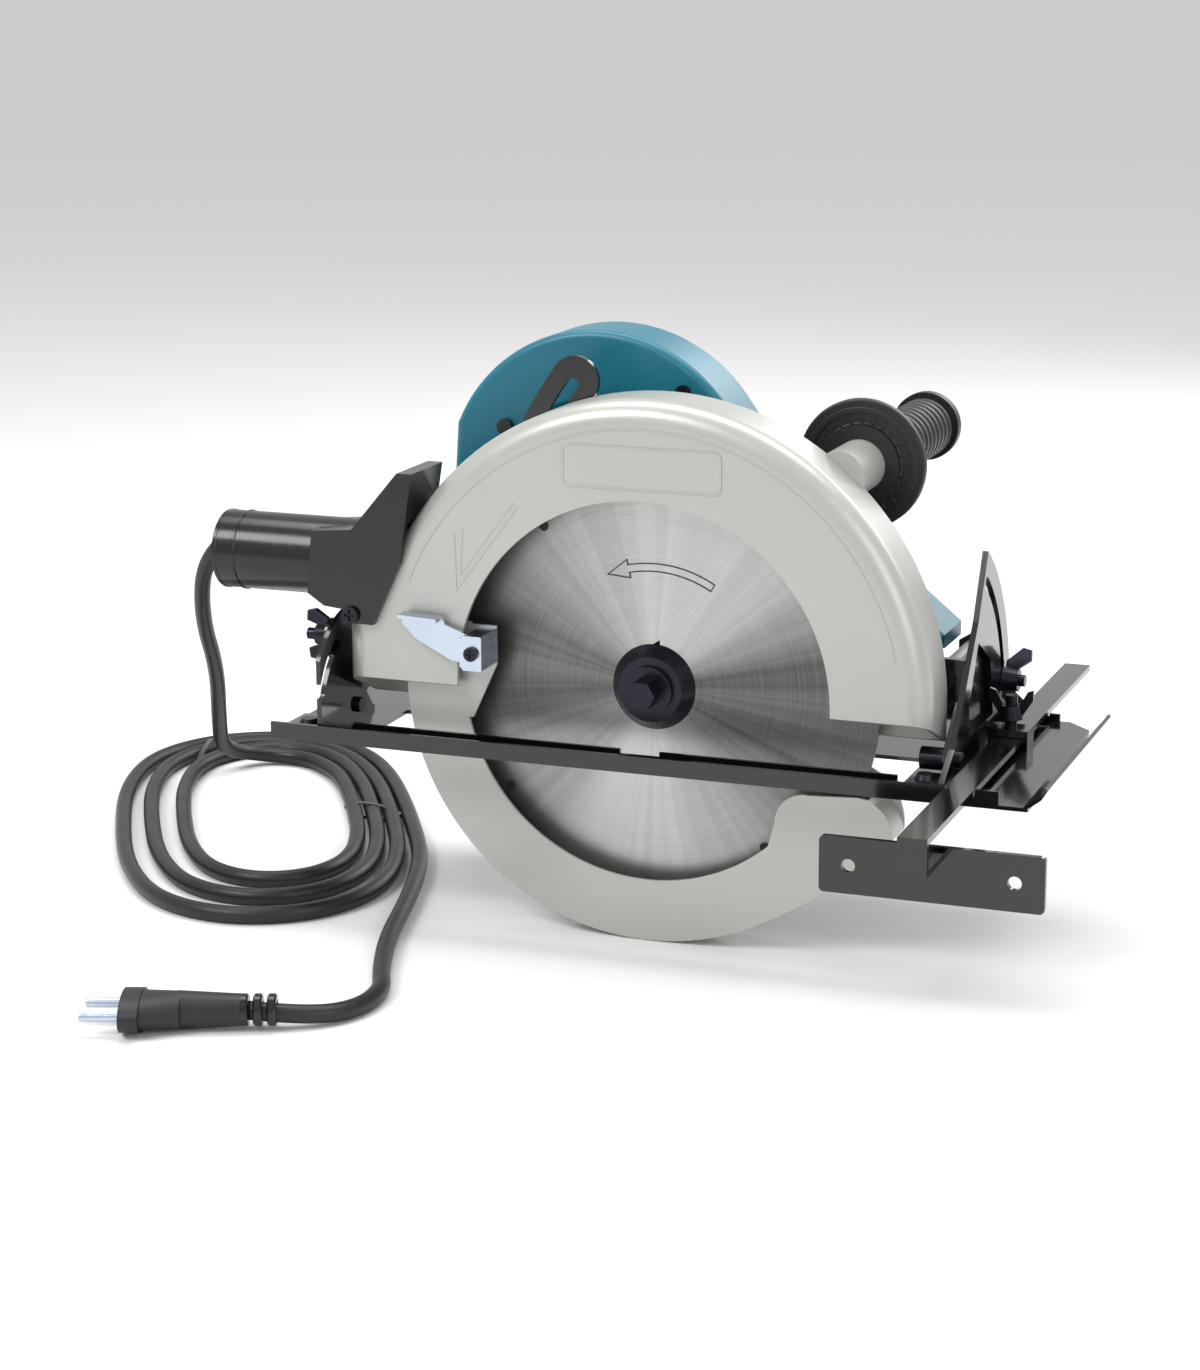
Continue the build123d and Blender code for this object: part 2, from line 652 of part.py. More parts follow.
# ---- Sole ---------------------------------------------------------------------------------
with BuildPart() as base_plate:
    with BuildSketch(flat(0)):
        with BuildLine():
            Polyline((BASE_REAR_X, BASE_NEAR_Y), (BASE_FRONT_X, BASE_NEAR_Y), (BASE_FRONT_X, 100),
                     (185, BASE_FAR_Y), (-175, BASE_FAR_Y), (BASE_REAR_X, 100), close=True)
        make_face()
        with BuildLine():
            Polyline((WINDOW_REAR_X, WINDOW_NEAR_Y), (WINDOW_FRONT_X, WINDOW_NEAR_Y),
                     (WINDOW_FRONT_X, WINDOW_FAR_Y), (WINDOW_REAR_X, WINDOW_FAR_Y), close=True)
        make_face(mode=Mode.SUBTRACT)
    extrude(amount=BASE_SHEET)
    # turned-up lips: two along the near strip, one at the far side
    for near_y, far_y, rear_x, front_x, height in (
        (BASE_NEAR_Y, BASE_NEAR_Y + BASE_SHEET, BASE_REAR_X, BASE_FRONT_X - 14, BASE_LIP),
        (WINDOW_NEAR_Y - BASE_SHEET, WINDOW_NEAR_Y, WINDOW_REAR_X, WINDOW_FRONT_X, BASE_LIP),
        (BASE_FAR_Y - BASE_SHEET, BASE_FAR_Y, -170, 180, 6.0),
    ):
        with BuildSketch(flat(0)):
            Polygon((rear_x, near_y), (front_x, near_y), (front_x, far_y), (rear_x, far_y), align=None)
        extrude(amount=height)
    # the sighting notch over the spindle, in the lip beside the window
    with BuildSketch(flat(BASE_LIP - 2.5)):
        Polygon((-6, -36), (14.5, -36), (14.5, -30), (-6, -30), align=None)
    extrude(amount=10, mode=Mode.SUBTRACT)
    # the front edge turns up like a scoop
    with BuildSketch(across(100)):
        with BuildLine():
            Polyline((198, 0), (206, 6), (209, 11), (207.6, 12.2), (204.6, 7.5), (197.5, 2), (190, 2), (190, 0),
                     close=True)
        make_face()
    extrude(amount=100 + 44)
    # the fence bar passes through a notch in each lip
    for lip_y in (BASE_NEAR_Y + BASE_SHEET / 2, BASE_FAR_Y - BASE_SHEET / 2):
        with BuildSketch(flat(BAR_LOW - GAP)):
            with Locations((FENCE_X, lip_y)):
                Rectangle(FENCE_BAR_W + 1, 6)
        extrude(amount=10, mode=Mode.SUBTRACT)
save(base_plate, "base_plate")


def bevel_plane(x):
    return along(x, 0.0, BEVEL_Z)


FRONT_SLOT_R, REAR_SLOT_R = 92.0, 44.0
FRONT_CLAMP, REAR_CLAMP = 12.0, 114.0
STUD_R = 3.0


def arc_band(radius, half_width, first, last):
    """A band about the sketch's origin, round at both ends."""
    with BuildLine() as spine:
        ThreePointArc(polar(radius, first), polar(radius, (first + last) / 2), polar(radius, last))
    return SlotArc(spine.edges()[0], half_width * 2, mode=Mode.PRIVATE)


with BuildPart() as front_quadrant:
    with BuildSketch(bevel_plane(152)):
        with BuildLine():
            Line((-30, -6.9), (-7, 7))
            Line((-7, 7), polar(70, 60))
            Line(polar(70, 60), polar(106, 61))
            ThreePointArc(polar(106, 61), polar(106, 30), polar(106, 1))
            Line(polar(106, 1), (104, -6.9))
            Line((104, -6.9), (-30, -6.9))
        make_face()
        add(arc_band(FRONT_SLOT_R, STUD_R + RUNNING, FRONT_CLAMP, FRONT_CLAMP + BEVEL_SWING), mode=Mode.SUBTRACT)
        Circle(4.0 + RUNNING, mode=Mode.SUBTRACT)
        with BuildLine():
            Polyline((22, 6), (70, 6), (62, 36), (36, 50), (20, 22), close=True)
        make_face(mode=Mode.SUBTRACT)
    extrude(amount=3)
    with BuildSketch(flat(BASE_SHEET + 0.02)):
        Polygon((137, -30), (155, -30), (155, -9), (137, -9), align=None)
        Polygon((137, 32), (155, 32), (155, 60), (137, 60), align=None)
    extrude(amount=2.4)
save(front_quadrant, "front_quadrant")

with BuildPart() as rear_quadrant:
    with BuildSketch(bevel_plane(-165)):
        with BuildLine():
            Polyline((-42.5, -6.9), (-42.5, 31), polar(54, 143))
            ThreePointArc(polar(54, 143), polar(54, 118), polar(54, 95))
            Polyline(polar(54, 95), (8, 8), (20, -6.9), (-42.5, -6.9))
        make_face()
        add(arc_band(REAR_SLOT_R, STUD_R + RUNNING, REAR_CLAMP, REAR_CLAMP + BEVEL_SWING), mode=Mode.SUBTRACT)
        Circle(4.0 + RUNNING, mode=Mode.SUBTRACT)
    extrude(amount=2.5)
    with BuildSketch(flat(BASE_SHEET + 0.02)):
        Polygon((-188, -42), (-162.5, -42), (-162.5, -10), (-188, -10), align=None)
        Polygon((-188, 6), (-162.5, 6), (-162.5, 20), (-188, 20), align=None)
    extrude(amount=2.4)
save(rear_quadrant, "rear_quadrant")

with BuildPart() as base_rivets:
    for x, y in ((144, -20), (144, 46), (-178, -26), (-178, 13)):
        with BuildSketch(flat(BASE_SHEET + 2.44)):
            with Locations((x, y)):
                Circle(5.0)
        extrude(amount=2.4, taper=25)
save(base_rivets, "base_rivets")

# ---- Carriage: what tilts on the sole and carries the saw ---------------------------------
with BuildPart() as front_bracket:
    with BuildSketch(bevel_plane(148.6)):
        with BuildLine():
            Polyline((-6.5, 0), (-4, 5.5), (21.5, 26), (21.5, 44), (60, 44), (92, 40), (101, 28), (101, 12),
                     (90, 8), (22, 2), (4, -6), (-4, -5.5), close=True)
        make_face()
        Circle(4.0 + RUNNING, mode=Mode.SUBTRACT)
        with Locations(polar(FRONT_SLOT_R, FRONT_CLAMP)):
            Circle(STUD_R + 0.02, mode=Mode.SUBTRACT)
    extrude(amount=3)
    # the two ears that hold the hinge pin
    for high_y in (26.5, 88.5):
        with BuildSketch(across(high_y)):
            with BuildLine():
                Polyline((148.7, 30), (148.7, 53), (141, 53), (133, 48), (133, 36), (140, 28), close=True)
            make_face()
            with Locations((DEPTH_X, DEPTH_Z)):
                Circle(3.5, mode=Mode.SUBTRACT)
        extrude(amount=4)
save(front_bracket, "front_bracket")

with BuildPart() as depth_pin:
    with BuildSketch(across(90, DEPTH_X, DEPTH_Z)):
        Circle(3.5)
    extrude(amount=90 - 22.5)
    with BuildSketch(across(22.5, DEPTH_X, DEPTH_Z)):
        RegularPolygon(5.5, 6, major_radius=False)
    extrude(amount=4.0)
save(depth_pin, "depth_pin")


with BuildPart() as bevel_pivots:
    for x_from, x_to, radius in ((146, 157, 4.0), (137, 148.58, 5.6), (-172, -160, 4.0), (-174, -168.02, 5.6)):
        with BuildSketch(bevel_plane(x_from)):
            Circle(radius)
        extrude(amount=x_to - x_from)
save(bevel_pivots, "bevel_pivots")

with BuildPart() as rear_bracket:
    with BuildSketch(bevel_plane(-168)):
        with Locations((0, 0)):
            Circle(6.5)
        with Locations(polar(REAR_SLOT_R, REAR_CLAMP)):
            Circle(9)
        with BuildLine():
            Polyline((-6, 2), (-25, 36), (-10, 46), (12, 38), (23.4, 34), (23.4, 6), (6, -2), close=True)
        make_face()
        Circle(4.0 + RUNNING, mode=Mode.SUBTRACT)
        with Locations(polar(REAR_SLOT_R, REAR_CLAMP)):
            Circle(STUD_R + 0.02, mode=Mode.SUBTRACT)
    extrude(amount=2.5)
    with BuildSketch(across(23.4)):
        Polygon((-168, 15), (-126, 15), (-126, 43), (-161.5, 43), (-161.5, 25), (-168, 25), align=None)
    extrude(amount=2.4)
save(rear_bracket, "rear_bracket")

GUIDE_R, GUIDE_REST = 234.2, 178.6
GUIDE_TOP = GUIDE_REST - DEPTH_SWING
with BuildPart() as depth_guide:
    with BuildSketch(across(20.98, DEPTH_X, DEPTH_Z)):
        add(arc_band(GUIDE_R, 12.5, GUIDE_TOP - 0.5, GUIDE_REST + 3))
        Polygon(polar(GUIDE_R + 12.5, 178), polar(GUIDE_R - 9, 181), (-DEPTH_X - 108, -27), (-DEPTH_X - 160, -27),
                (-DEPTH_X - 160, 0), align=None)
        add(arc_band(GUIDE_R, 3.2, GUIDE_TOP, GUIDE_REST), mode=Mode.SUBTRACT)
    extrude(amount=2.9)
save(depth_guide, "depth_guide")

STUD_X, STUD_Z = polar(GUIDE_R, GUIDE_REST, DEPTH_X, DEPTH_Z)
ring("depth_stud", STUD_X, STUD_Z, 0, STUD_R, CASE_BACK_Y + 0.02, 31)

with BuildPart() as depth_lever:
    with BuildSketch(across(31, STUD_X, STUD_Z)):
        Circle(8)
    extrude(amount=31 - 21.4)
    with BuildSketch(across(30.5, STUD_X, STUD_Z)):
        with BuildLine():
            Polyline((4, 6), (-50, 26), (-54, 18), (-4, -6), close=True)
        make_face()
    extrude(amount=5)
    with BuildSketch(across(32, STUD_X, STUD_Z)):
        Circle(STUD_R + RUNNING)
    extrude(amount=20, mode=Mode.SUBTRACT)
save(depth_lever, "depth_lever")


def wing_nut(name, plane, hub_r, hub_h, reach, bore, tilt):
    """A hub with two rounded wings that lean outwards, about the plane's normal."""
    with BuildPart() as nut:
        with BuildSketch(plane):
            Circle(hub_r)
        extrude(amount=hub_h, taper=6)
        spread = plane.x_dir.rotate(Axis((0, 0, 0), tuple(plane.z_dir)), tilt)
        for side in (-1, 1):
            with BuildSketch(Plane(origin=plane.origin, x_dir=spread, z_dir=spread.cross(plane.z_dir))):
                with BuildLine():
                    Polyline((side * hub_r * 0.6, 0.4), (side * hub_r * 0.8, hub_h * 0.7),
                             (side * (reach - 6), hub_h + 5), (side * (reach - 1), hub_h + 4.5),
                             (side * reach, hub_h), (side * (hub_r + 3), 0.4), close=True)
                make_face()
            extrude(amount=1.3, both=True)
        with BuildSketch(plane.offset(-1)):
            Circle(bore + RUNNING)
        extrude(amount=hub_h + 2, mode=Mode.SUBTRACT)
    save(nut, name)


FRONT_CLAMP_Y, FRONT_CLAMP_Z = polar(FRONT_SLOT_R, FRONT_CLAMP, 0, BEVEL_Z)
REAR_CLAMP_Y, REAR_CLAMP_Z = polar(REAR_SLOT_R, REAR_CLAMP, 0, BEVEL_Z)
wing_nut("front_wing_nut", along(155.4, FRONT_CLAMP_Y, FRONT_CLAMP_Z), 6.5, 8, 17, STUD_R, 60)
REAR_STUD = Plane(origin=(-162.5, REAR_CLAMP_Y, REAR_CLAMP_Z), x_dir=(0, 1, 0), z_dir=(-1, 0, 0))
with BuildPart() as clamp_studs:
    for stud_plane in (along(148.6, FRONT_CLAMP_Y, FRONT_CLAMP_Z), REAR_STUD):
        with BuildSketch(stud_plane):
            Circle(STUD_R)
        extrude(amount=18)
save(clamp_studs, "clamp_studs")
wing_nut("rear_wing_nut", REAR_STUD.offset(5.9), 6.0, 7, 13.5, STUD_R, 85)

# ---- Rip fence ----------------------------------------------------------------------------
BAR_MIN_X, BAR_MAX_X = FENCE_X - FENCE_BAR_W / 2, FENCE_X + FENCE_BAR_W / 2
HOOK_Y = FENCE_PLATE_Y - 34.0
HOLDER_Y = 59.0

with BuildPart() as fence_holder:
    with BuildSketch(across(HOLDER_Y + 7)):
        Polygon((BAR_MIN_X - 3, BASE_SHEET + 0.02), (BAR_MAX_X + 3, BASE_SHEET + 0.02), (BAR_MAX_X + 3, 12),
                (BAR_MIN_X - 3, 12), align=None)
        Polygon((BAR_MIN_X - 0.05, BAR_LOW - GAP), (BAR_MAX_X + 0.05, BAR_LOW - GAP),
                (BAR_MAX_X + 0.05, BAR_HIGH + GAP), (BAR_MIN_X - 0.05, BAR_HIGH + GAP), align=None,
                mode=Mode.SUBTRACT)
    extrude(amount=14)
    with BuildSketch(flat(20)):
        with Locations((FENCE_X, HOLDER_Y)):
            Circle(STUD_R + RUNNING)
    extrude(amount=-12.5, mode=Mode.SUBTRACT)
save(fence_holder, "fence_holder")

with BuildPart() as fence_bar:
    with BuildSketch(across(215)):
        Polygon((BAR_MIN_X, BAR_LOW), (BAR_MAX_X, BAR_LOW), (BAR_MAX_X, BAR_HIGH), (BAR_MIN_X, BAR_HIGH),
                align=None)
    extrude(amount=215 - HOOK_Y)
    with BuildSketch(across(HOOK_Y + 3)):
        Polygon((BAR_MIN_X, -10), (BAR_MAX_X, -10), (BAR_MAX_X, BAR_LOW), (BAR_MIN_X, BAR_LOW), align=None)
    extrude(amount=3)
    with BuildSketch(flat(-10)):
        Polygon((BAR_MIN_X, HOOK_Y), (BAR_MAX_X, HOOK_Y), (BAR_MAX_X, FENCE_PLATE_Y - 0.02),
                (BAR_MIN_X, FENCE_PLATE_Y - 0.02), align=None)
    extrude(amount=3)
save(fence_bar, "fence_bar")

FENCE_HOLE_Z, FENCE_HOLE_PITCH, FENCE_HOLE_R = -19.0, 78.0, 3.3
with BuildPart() as fence_plate:
    with BuildSketch(across(FENCE_PLATE_Y + 3, FENCE_X, FENCE_HOLE_Z)):
        RectangleRounded(106, 27, 2.5)
        with GridLocations(FENCE_HOLE_PITCH, 0, 2, 1):
            Circle(FENCE_HOLE_R, mode=Mode.SUBTRACT)
    extrude(amount=3)
save(fence_plate, "fence_plate")

FENCE_SCREW = Plane(origin=(FENCE_X, HOLDER_Y, 12.4), x_dir=(1, 0, 0), z_dir=(0, 0, 1))
with BuildPart() as fence_screw:
    with BuildSketch(FENCE_SCREW.offset(-3.9)):
        Circle(STUD_R)
    extrude(amount=20)
    with BuildSketch(FENCE_SCREW.offset(4)):
        Circle(6)
    extrude(amount=7, taper=6)
    for side in (-1, 1):
        with BuildSketch(FENCE_SCREW.rotated((90, 0, 0)).offset(-0.9)):
            Polygon((side * 4.5, 7), (side * 6, 6), (side * 11, 14), (side * 11, 19), (side * 8, 18),
                    (side * 4.2, 11), align=None)
        extrude(amount=1.8)
save(fence_screw, "fence_screw")

# ---- Mains lead ---------------------------------------------------------------------------
CORD_R = CORD_D / 2
LAY_Z = FLOOR_Z + CORD_R
GUARD_TIP_X = -178.0

with BuildPart() as cord_guard:
    with BuildSketch(along(-129, HANDLE_MID_Y, CORD_EXIT_Z)):
        Circle(7.5)
        Circle(2.0, mode=Mode.SUBTRACT)
    extrude(amount=14)
    with BuildSketch(Plane(origin=(-128.9, HANDLE_MID_Y, CORD_EXIT_Z), x_dir=(0, 1, 0), z_dir=(-1, 0, 0))):
        Circle(8.5)
    extrude(amount=-GUARD_TIP_X - 128.9, taper=3)
save(cord_guard, "cord_guard")

ROUTE = [
    (GUARD_TIP_X - 1, HANDLE_MID_Y, CORD_EXIT_Z), (-214, HANDLE_MID_Y, 86), (-256, 69, 87), (-290, 76, 62),
    (-303, 95, 24), (-312, 128, -14), (-328, 158, -52), (-341, 186, -80),
]


def tangent_radii(points, share=0.45):
    """The arc at each corner takes 0.45 of the shorter run beside it."""
    radii = []
    for before, here, after in zip(points, points[1:], points[2:]):
        arrive, leave = Vector(*here) - Vector(*before), Vector(*after) - Vector(*here)
        turn = radians(arrive.get_angle(leave))
        radii.append(share * min(arrive.length, leave.length) / tan(turn / 2))
    return radii


def cord_tube(name, points):
    radii = tangent_radii(points)
    print(name, "arc radii", [round(r, 1) for r in radii], "least over diameters", round(min(radii) / CORD_D, 1))
    with BuildPart() as tube:
        with BuildLine() as path:
            FilletPolyline(*points, radius=radii)
        route = path.wires()[0]
        with BuildSketch(Plane(origin=route @ 0, z_dir=route % 0)) as section:
            Circle(CORD_R)
        sweep(section.sketch, path=route)
    print(name, "length", round(route.length, 1), "volume ratio",
          round(tube.part.volume / (pi * CORD_R**2 * route.length), 4))
    save(tube, name)


cord_tube("cord_tube", ROUTE)

# the loose oval loops lie on the floor behind the tool, their long axis turned towards its tail
COIL_X, COIL_Y, COIL_TURN = -262.0, 86.0, 119.0
COIL_LONG, COIL_SHORT = 178.0, 84.0
with BuildPart() as cord_coil:
    with BuildSketch(Plane(origin=(COIL_X, COIL_Y, FLOOR_Z)).rotated((0, 0, COIL_TURN))):
        Ellipse(COIL_LONG, COIL_SHORT)
        Ellipse(COIL_LONG - 36, COIL_SHORT - 36, mode=Mode.SUBTRACT)
    extrude(amount=CORD_D + 1)
save(cord_coil, "cord_coil")

PLUG_TURN = 200.0
TAIL = [
    (-147.5, 38, LAY_Z), (-132, -12, LAY_Z), (-118, -66, LAY_Z), (-100, -113, LAY_Z), (-87, -139, LAY_Z),
    (-89, -168, LAY_Z), (-107, -187.5, LAY_Z + 2.3), (-132, -195, LAY_Z + 4.7),
]
cord_tube("plug_lead", TAIL)

# the plug: a flat-sided round body, a waisted grip with ribs, and two pins
AIM = Vector(cos(radians(PLUG_TURN)), sin(radians(PLUG_TURN)), 0)
PLUG_START = Vector(*TAIL[-1])


def plug_plane(distance):
    return Plane(origin=PLUG_START + AIM * distance, x_dir=(0, 0, 1), z_dir=tuple(AIM))


with BuildPart() as plug_body:
    with BuildSketch(plug_plane(0.02)):
        Circle(7.5)
    extrude(amount=30, taper=-3)
    with BuildSketch(plug_plane(28)):
        Ellipse(8.5, 11)
    with BuildSketch(plug_plane(46)):
        Ellipse(8.5, 15)
    loft()
    with BuildSketch(plug_plane(46)):
        Ellipse(9.0, 18.5)
    extrude(amount=9)
save(plug_body, "plug_body")

with BuildPart() as plug_pins:
    for side in (-9.5, 9.5):
        with BuildSketch(plug_plane(55.02)):
            with Locations((0, side)):
                Circle(2.4)
        extrude(amount=19)
    fillet(plug_pins.edges().sort_by(Axis(tuple(PLUG_START), tuple(AIM)))[-2:], 1.0)
save(plug_pins, "plug_pins")
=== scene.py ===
# %% [markdown]
# A corded circular saw, made in Blender around its CAD model
#
# The CAD model already holds every part of the saw in its right place and
# size: the case, blade, guards, handles, motor and sole plate. This lesson
# gives those parts their finishes, and adds what CAD leaves out: the loose
# mains lead, its ties and plug ribs, and the small raised marks on the case.

# %% Load the CAD model as the fixed frame
import json
import math

import bmesh
import bpy
from mathutils import Matrix, Vector


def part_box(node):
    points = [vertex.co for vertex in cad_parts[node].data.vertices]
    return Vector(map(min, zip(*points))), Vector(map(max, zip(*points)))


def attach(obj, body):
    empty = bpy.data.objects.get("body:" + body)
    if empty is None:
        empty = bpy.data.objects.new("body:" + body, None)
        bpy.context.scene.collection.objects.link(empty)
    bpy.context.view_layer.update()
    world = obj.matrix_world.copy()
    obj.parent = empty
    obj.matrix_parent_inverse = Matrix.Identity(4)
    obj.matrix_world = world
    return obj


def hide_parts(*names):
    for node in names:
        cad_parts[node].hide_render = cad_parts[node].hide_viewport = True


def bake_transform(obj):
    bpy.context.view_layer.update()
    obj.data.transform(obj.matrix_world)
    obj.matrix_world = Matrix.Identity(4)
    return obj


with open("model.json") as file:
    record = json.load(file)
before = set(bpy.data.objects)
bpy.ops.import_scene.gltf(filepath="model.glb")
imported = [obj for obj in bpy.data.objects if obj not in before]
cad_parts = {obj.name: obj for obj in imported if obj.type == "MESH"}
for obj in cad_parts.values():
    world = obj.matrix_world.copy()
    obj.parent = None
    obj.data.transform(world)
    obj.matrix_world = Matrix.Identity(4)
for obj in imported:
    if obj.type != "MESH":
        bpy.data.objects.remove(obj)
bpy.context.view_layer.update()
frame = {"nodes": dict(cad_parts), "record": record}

MM = 0.001

# %% [markdown]
# The camera stands in front of the blade, a little to its right and above.
# A long lens from 1.5 m keeps the sole plate's edges nearly parallel, as
# catalogue pictures have them. A wide lens close by would bulge the case.

# %% Stand the camera
SPINDLE = Vector((0, 0, 0.0325))


def aim(thing, target):
    """Turn a camera or light so that it looks at a point."""
    thing.rotation_mode = "QUATERNION"
    thing.rotation_quaternion = (Vector(target) - thing.location).to_track_quat("-Z", "Y")


camera = bpy.data.objects.new("camera", bpy.data.cameras.new("camera"))
bpy.context.scene.collection.objects.link(camera)
camera.location = (0.49897, -1.38356, 0.40556)
camera.data.lens = 80.4
camera.data.sensor_width = 36
camera.data.shift_x = -0.0400
camera.data.shift_y = 0.0009
aim(camera, SPINDLE)
bpy.context.scene.camera = camera

# %% [markdown]
# A white sweep under the saw and large soft lights make the long, calm
# highlights that gloss black enamel and satin paint need. Small lights
# would leave hard dots. The floor lies just under the lower guard, which
# hangs below the sole plate.

# %% Lay the floor and hang the lights
FLOOR_Z = -0.0957


def link(name, data):
    made = bpy.data.objects.new(name, data)
    bpy.context.scene.collection.objects.link(made)
    return made


floor_shape = bmesh.new()
bmesh.ops.create_grid(floor_shape, x_segments=2, y_segments=2, size=30)
bmesh.ops.translate(floor_shape, verts=floor_shape.verts, vec=(0, 0, FLOOR_Z))
floor = link("floor", bpy.data.meshes.new("floor"))
floor_shape.to_mesh(floor.data)
floor_shape.free()

LIGHTS = {
    # name: (place, what it faces, width, height, watts)
    "key_left": ((-0.9, -1.3, 1.5), (0, 0, 0.05), 1.1, 0.7, 22),
    "fill_right": ((1.5, -1.0, 0.7), (0, 0, 0.03), 0.9, 1.2, 7),
    "top_strip": ((0.0, 0.3, 1.6), (0, 0, 0.0), 2.0, 0.7, 20),
    "back_rim": ((0.6, 1.5, 0.9), (0, 0, 0.1), 1.4, 0.8, 12),
}
for name, (place, target, wide, high, watts) in LIGHTS.items():
    lamp = bpy.data.lights.new(name, "AREA")
    lamp.shape, lamp.size, lamp.size_y, lamp.energy = "RECTANGLE", wide, high, watts
    lamp_object = link(name, lamp)
    lamp_object.location = place
    aim(lamp_object, target)

world = bpy.data.worlds.new("studio")
world.use_nodes = True
world.node_tree.nodes["Background"].inputs["Color"].default_value = (1, 1, 1, 1)
world.node_tree.nodes["Background"].inputs["Strength"].default_value = 0.75
bpy.context.scene.world = world
bpy.context.scene.view_settings.view_transform = "Standard"
print("lights:", len(LIGHTS))

# %% [markdown]
# Every finish is a small network of shader nodes. Wiring them by hand is
# slow to read, so one class wraps a node's output. Sums and products of
# such wires add Math nodes, and `add` makes any other node. The numbers
# that are the same all over a surface stay on the shader's own sockets.


# %% A wire between shader nodes
class Wire:
    """One output in a material's node tree, which does arithmetic."""

    def __init__(self, tree, socket=None):
        self.tree, self.socket = tree, socket

    def add(self, kind, settings=None, inputs=None, output=0):
        """Make a node: its settings first, then its sockets' values or wires."""
        made = self.tree.nodes.new("ShaderNode" + kind)
        for name, value in (settings or {}).items():
            if name == "stops":
                ramp = made.color_ramp
                ramp.elements[0].position, ramp.elements[0].color = value[0]
                ramp.elements[1].position, ramp.elements[1].color = value[-1]
                for place, shade in value[1:-1]:
                    ramp.elements.new(place).color = shade
            else:
                setattr(made, name, value)
        for key, value in (inputs or {}).items():
            if isinstance(value, Wire):
                self.tree.links.new(value.socket, made.inputs[key])
            else:
                made.inputs[key].default_value = value
        return Wire(self.tree, made.outputs[output])

    def maths(self, operation, first, second=0.0, clamp=False):
        return self.add("Math", {"operation": operation, "use_clamp": clamp}, {0: first, 1: second})

    def __add__(self, other):
        return self.maths("ADD", self, other)

    def __radd__(self, other):
        return self.maths("ADD", other, self)

    def __sub__(self, other):
        return self.maths("SUBTRACT", self, other)

    def __rsub__(self, other):
        return self.maths("SUBTRACT", other, self)

    def __mul__(self, other):
        return self.maths("MULTIPLY", self, other)

    def __rmul__(self, other):
        return self.maths("MULTIPLY", other, self)

    def __truediv__(self, other):
        return self.maths("DIVIDE", self, other)

    def part(self, output):
        """Another output of the same node."""
        return Wire(self.tree, self.socket.node.outputs[output])

    def between(self, low, high):
        """Rise from 0 to 1 as this wire goes from low to high."""
        return self.add("MapRange", {}, {"Value": self, "From Min": low, "From Max": high})

    def tint(self, colour_low, colour_high):
        """Blend two colours by this wire."""
        a, b = (c if isinstance(c, Wire) else (*c, 1) for c in (colour_low, colour_high))
        return self.add("Mix", {"data_type": "RGBA"}, {0: self, 6: a, 7: b}, output=2)


# %% Start a material with its shader
def new_finish(name, **uniform):
    """A material, its shader node with uniform values set, and an empty wire."""
    material = bpy.data.materials.new(name)
    material.use_nodes = True
    shader = material.node_tree.nodes["Principled BSDF"]
    for socket, value in uniform.items():
        shader.inputs[socket.replace("_", " ")].default_value = value
    return material, shader, Wire(material.node_tree)


def feed(shader, **wires):
    """Plug wires into the shader's varying sockets."""
    for socket, wire in wires.items():
        wire.tree.links.new(wire.socket, shader.inputs[socket.replace("_", " ")])

# %% [markdown]
# Most of the saw is painted, moulded or plated. Up close such a surface is
# never one flat colour: paint has a faint orange peel and slow clouds where
# it lies thicker, moulded plastic has a spark-eroded grain, and rubber has a
# coarser one. One function makes them all, from a colour, a gloss, and the
# size and depth of the grain. The clouds also move the gloss a little.


# %% A finish with slow clouds and a fine grain
def coated(
    name, colour, roughness, clouds=0.08, gloss_clouds=0.06, grain_mm=1.0, grain_depth=0.05, **uniform
):
    material, shader, wire = new_finish(name, **uniform)
    place = wire.add("TexCoord", output="Object")
    cloud = wire.add("TexNoise", {}, {"Vector": place, "Scale": 22.0, "Detail": 4.0}, output="Fac")
    dust = wire.add("TexNoise", {}, {"Vector": place, "Scale": 260.0, "Detail": 2.0}, output="Fac")
    grain = wire.add("TexNoise", {}, {"Vector": place, "Scale": 1 / (grain_mm * MM), "Detail": 2.0}, output="Fac")
    darker, lighter = ([c * share for c in colour] for share in (1 - clouds, 1 + clouds))
    feed(
        shader,
        Base_Color=(cloud * 0.8 + dust * 0.2).between(0.3, 0.7).tint(darker, lighter),
        Roughness=roughness + (cloud - 0.5) * gloss_clouds * 2 + (dust - 0.5) * gloss_clouds,
        Normal=wire.add("Bump", {}, {"Height": grain, "Strength": grain_depth, "Distance": 0.2 * MM}),
    )
    return material


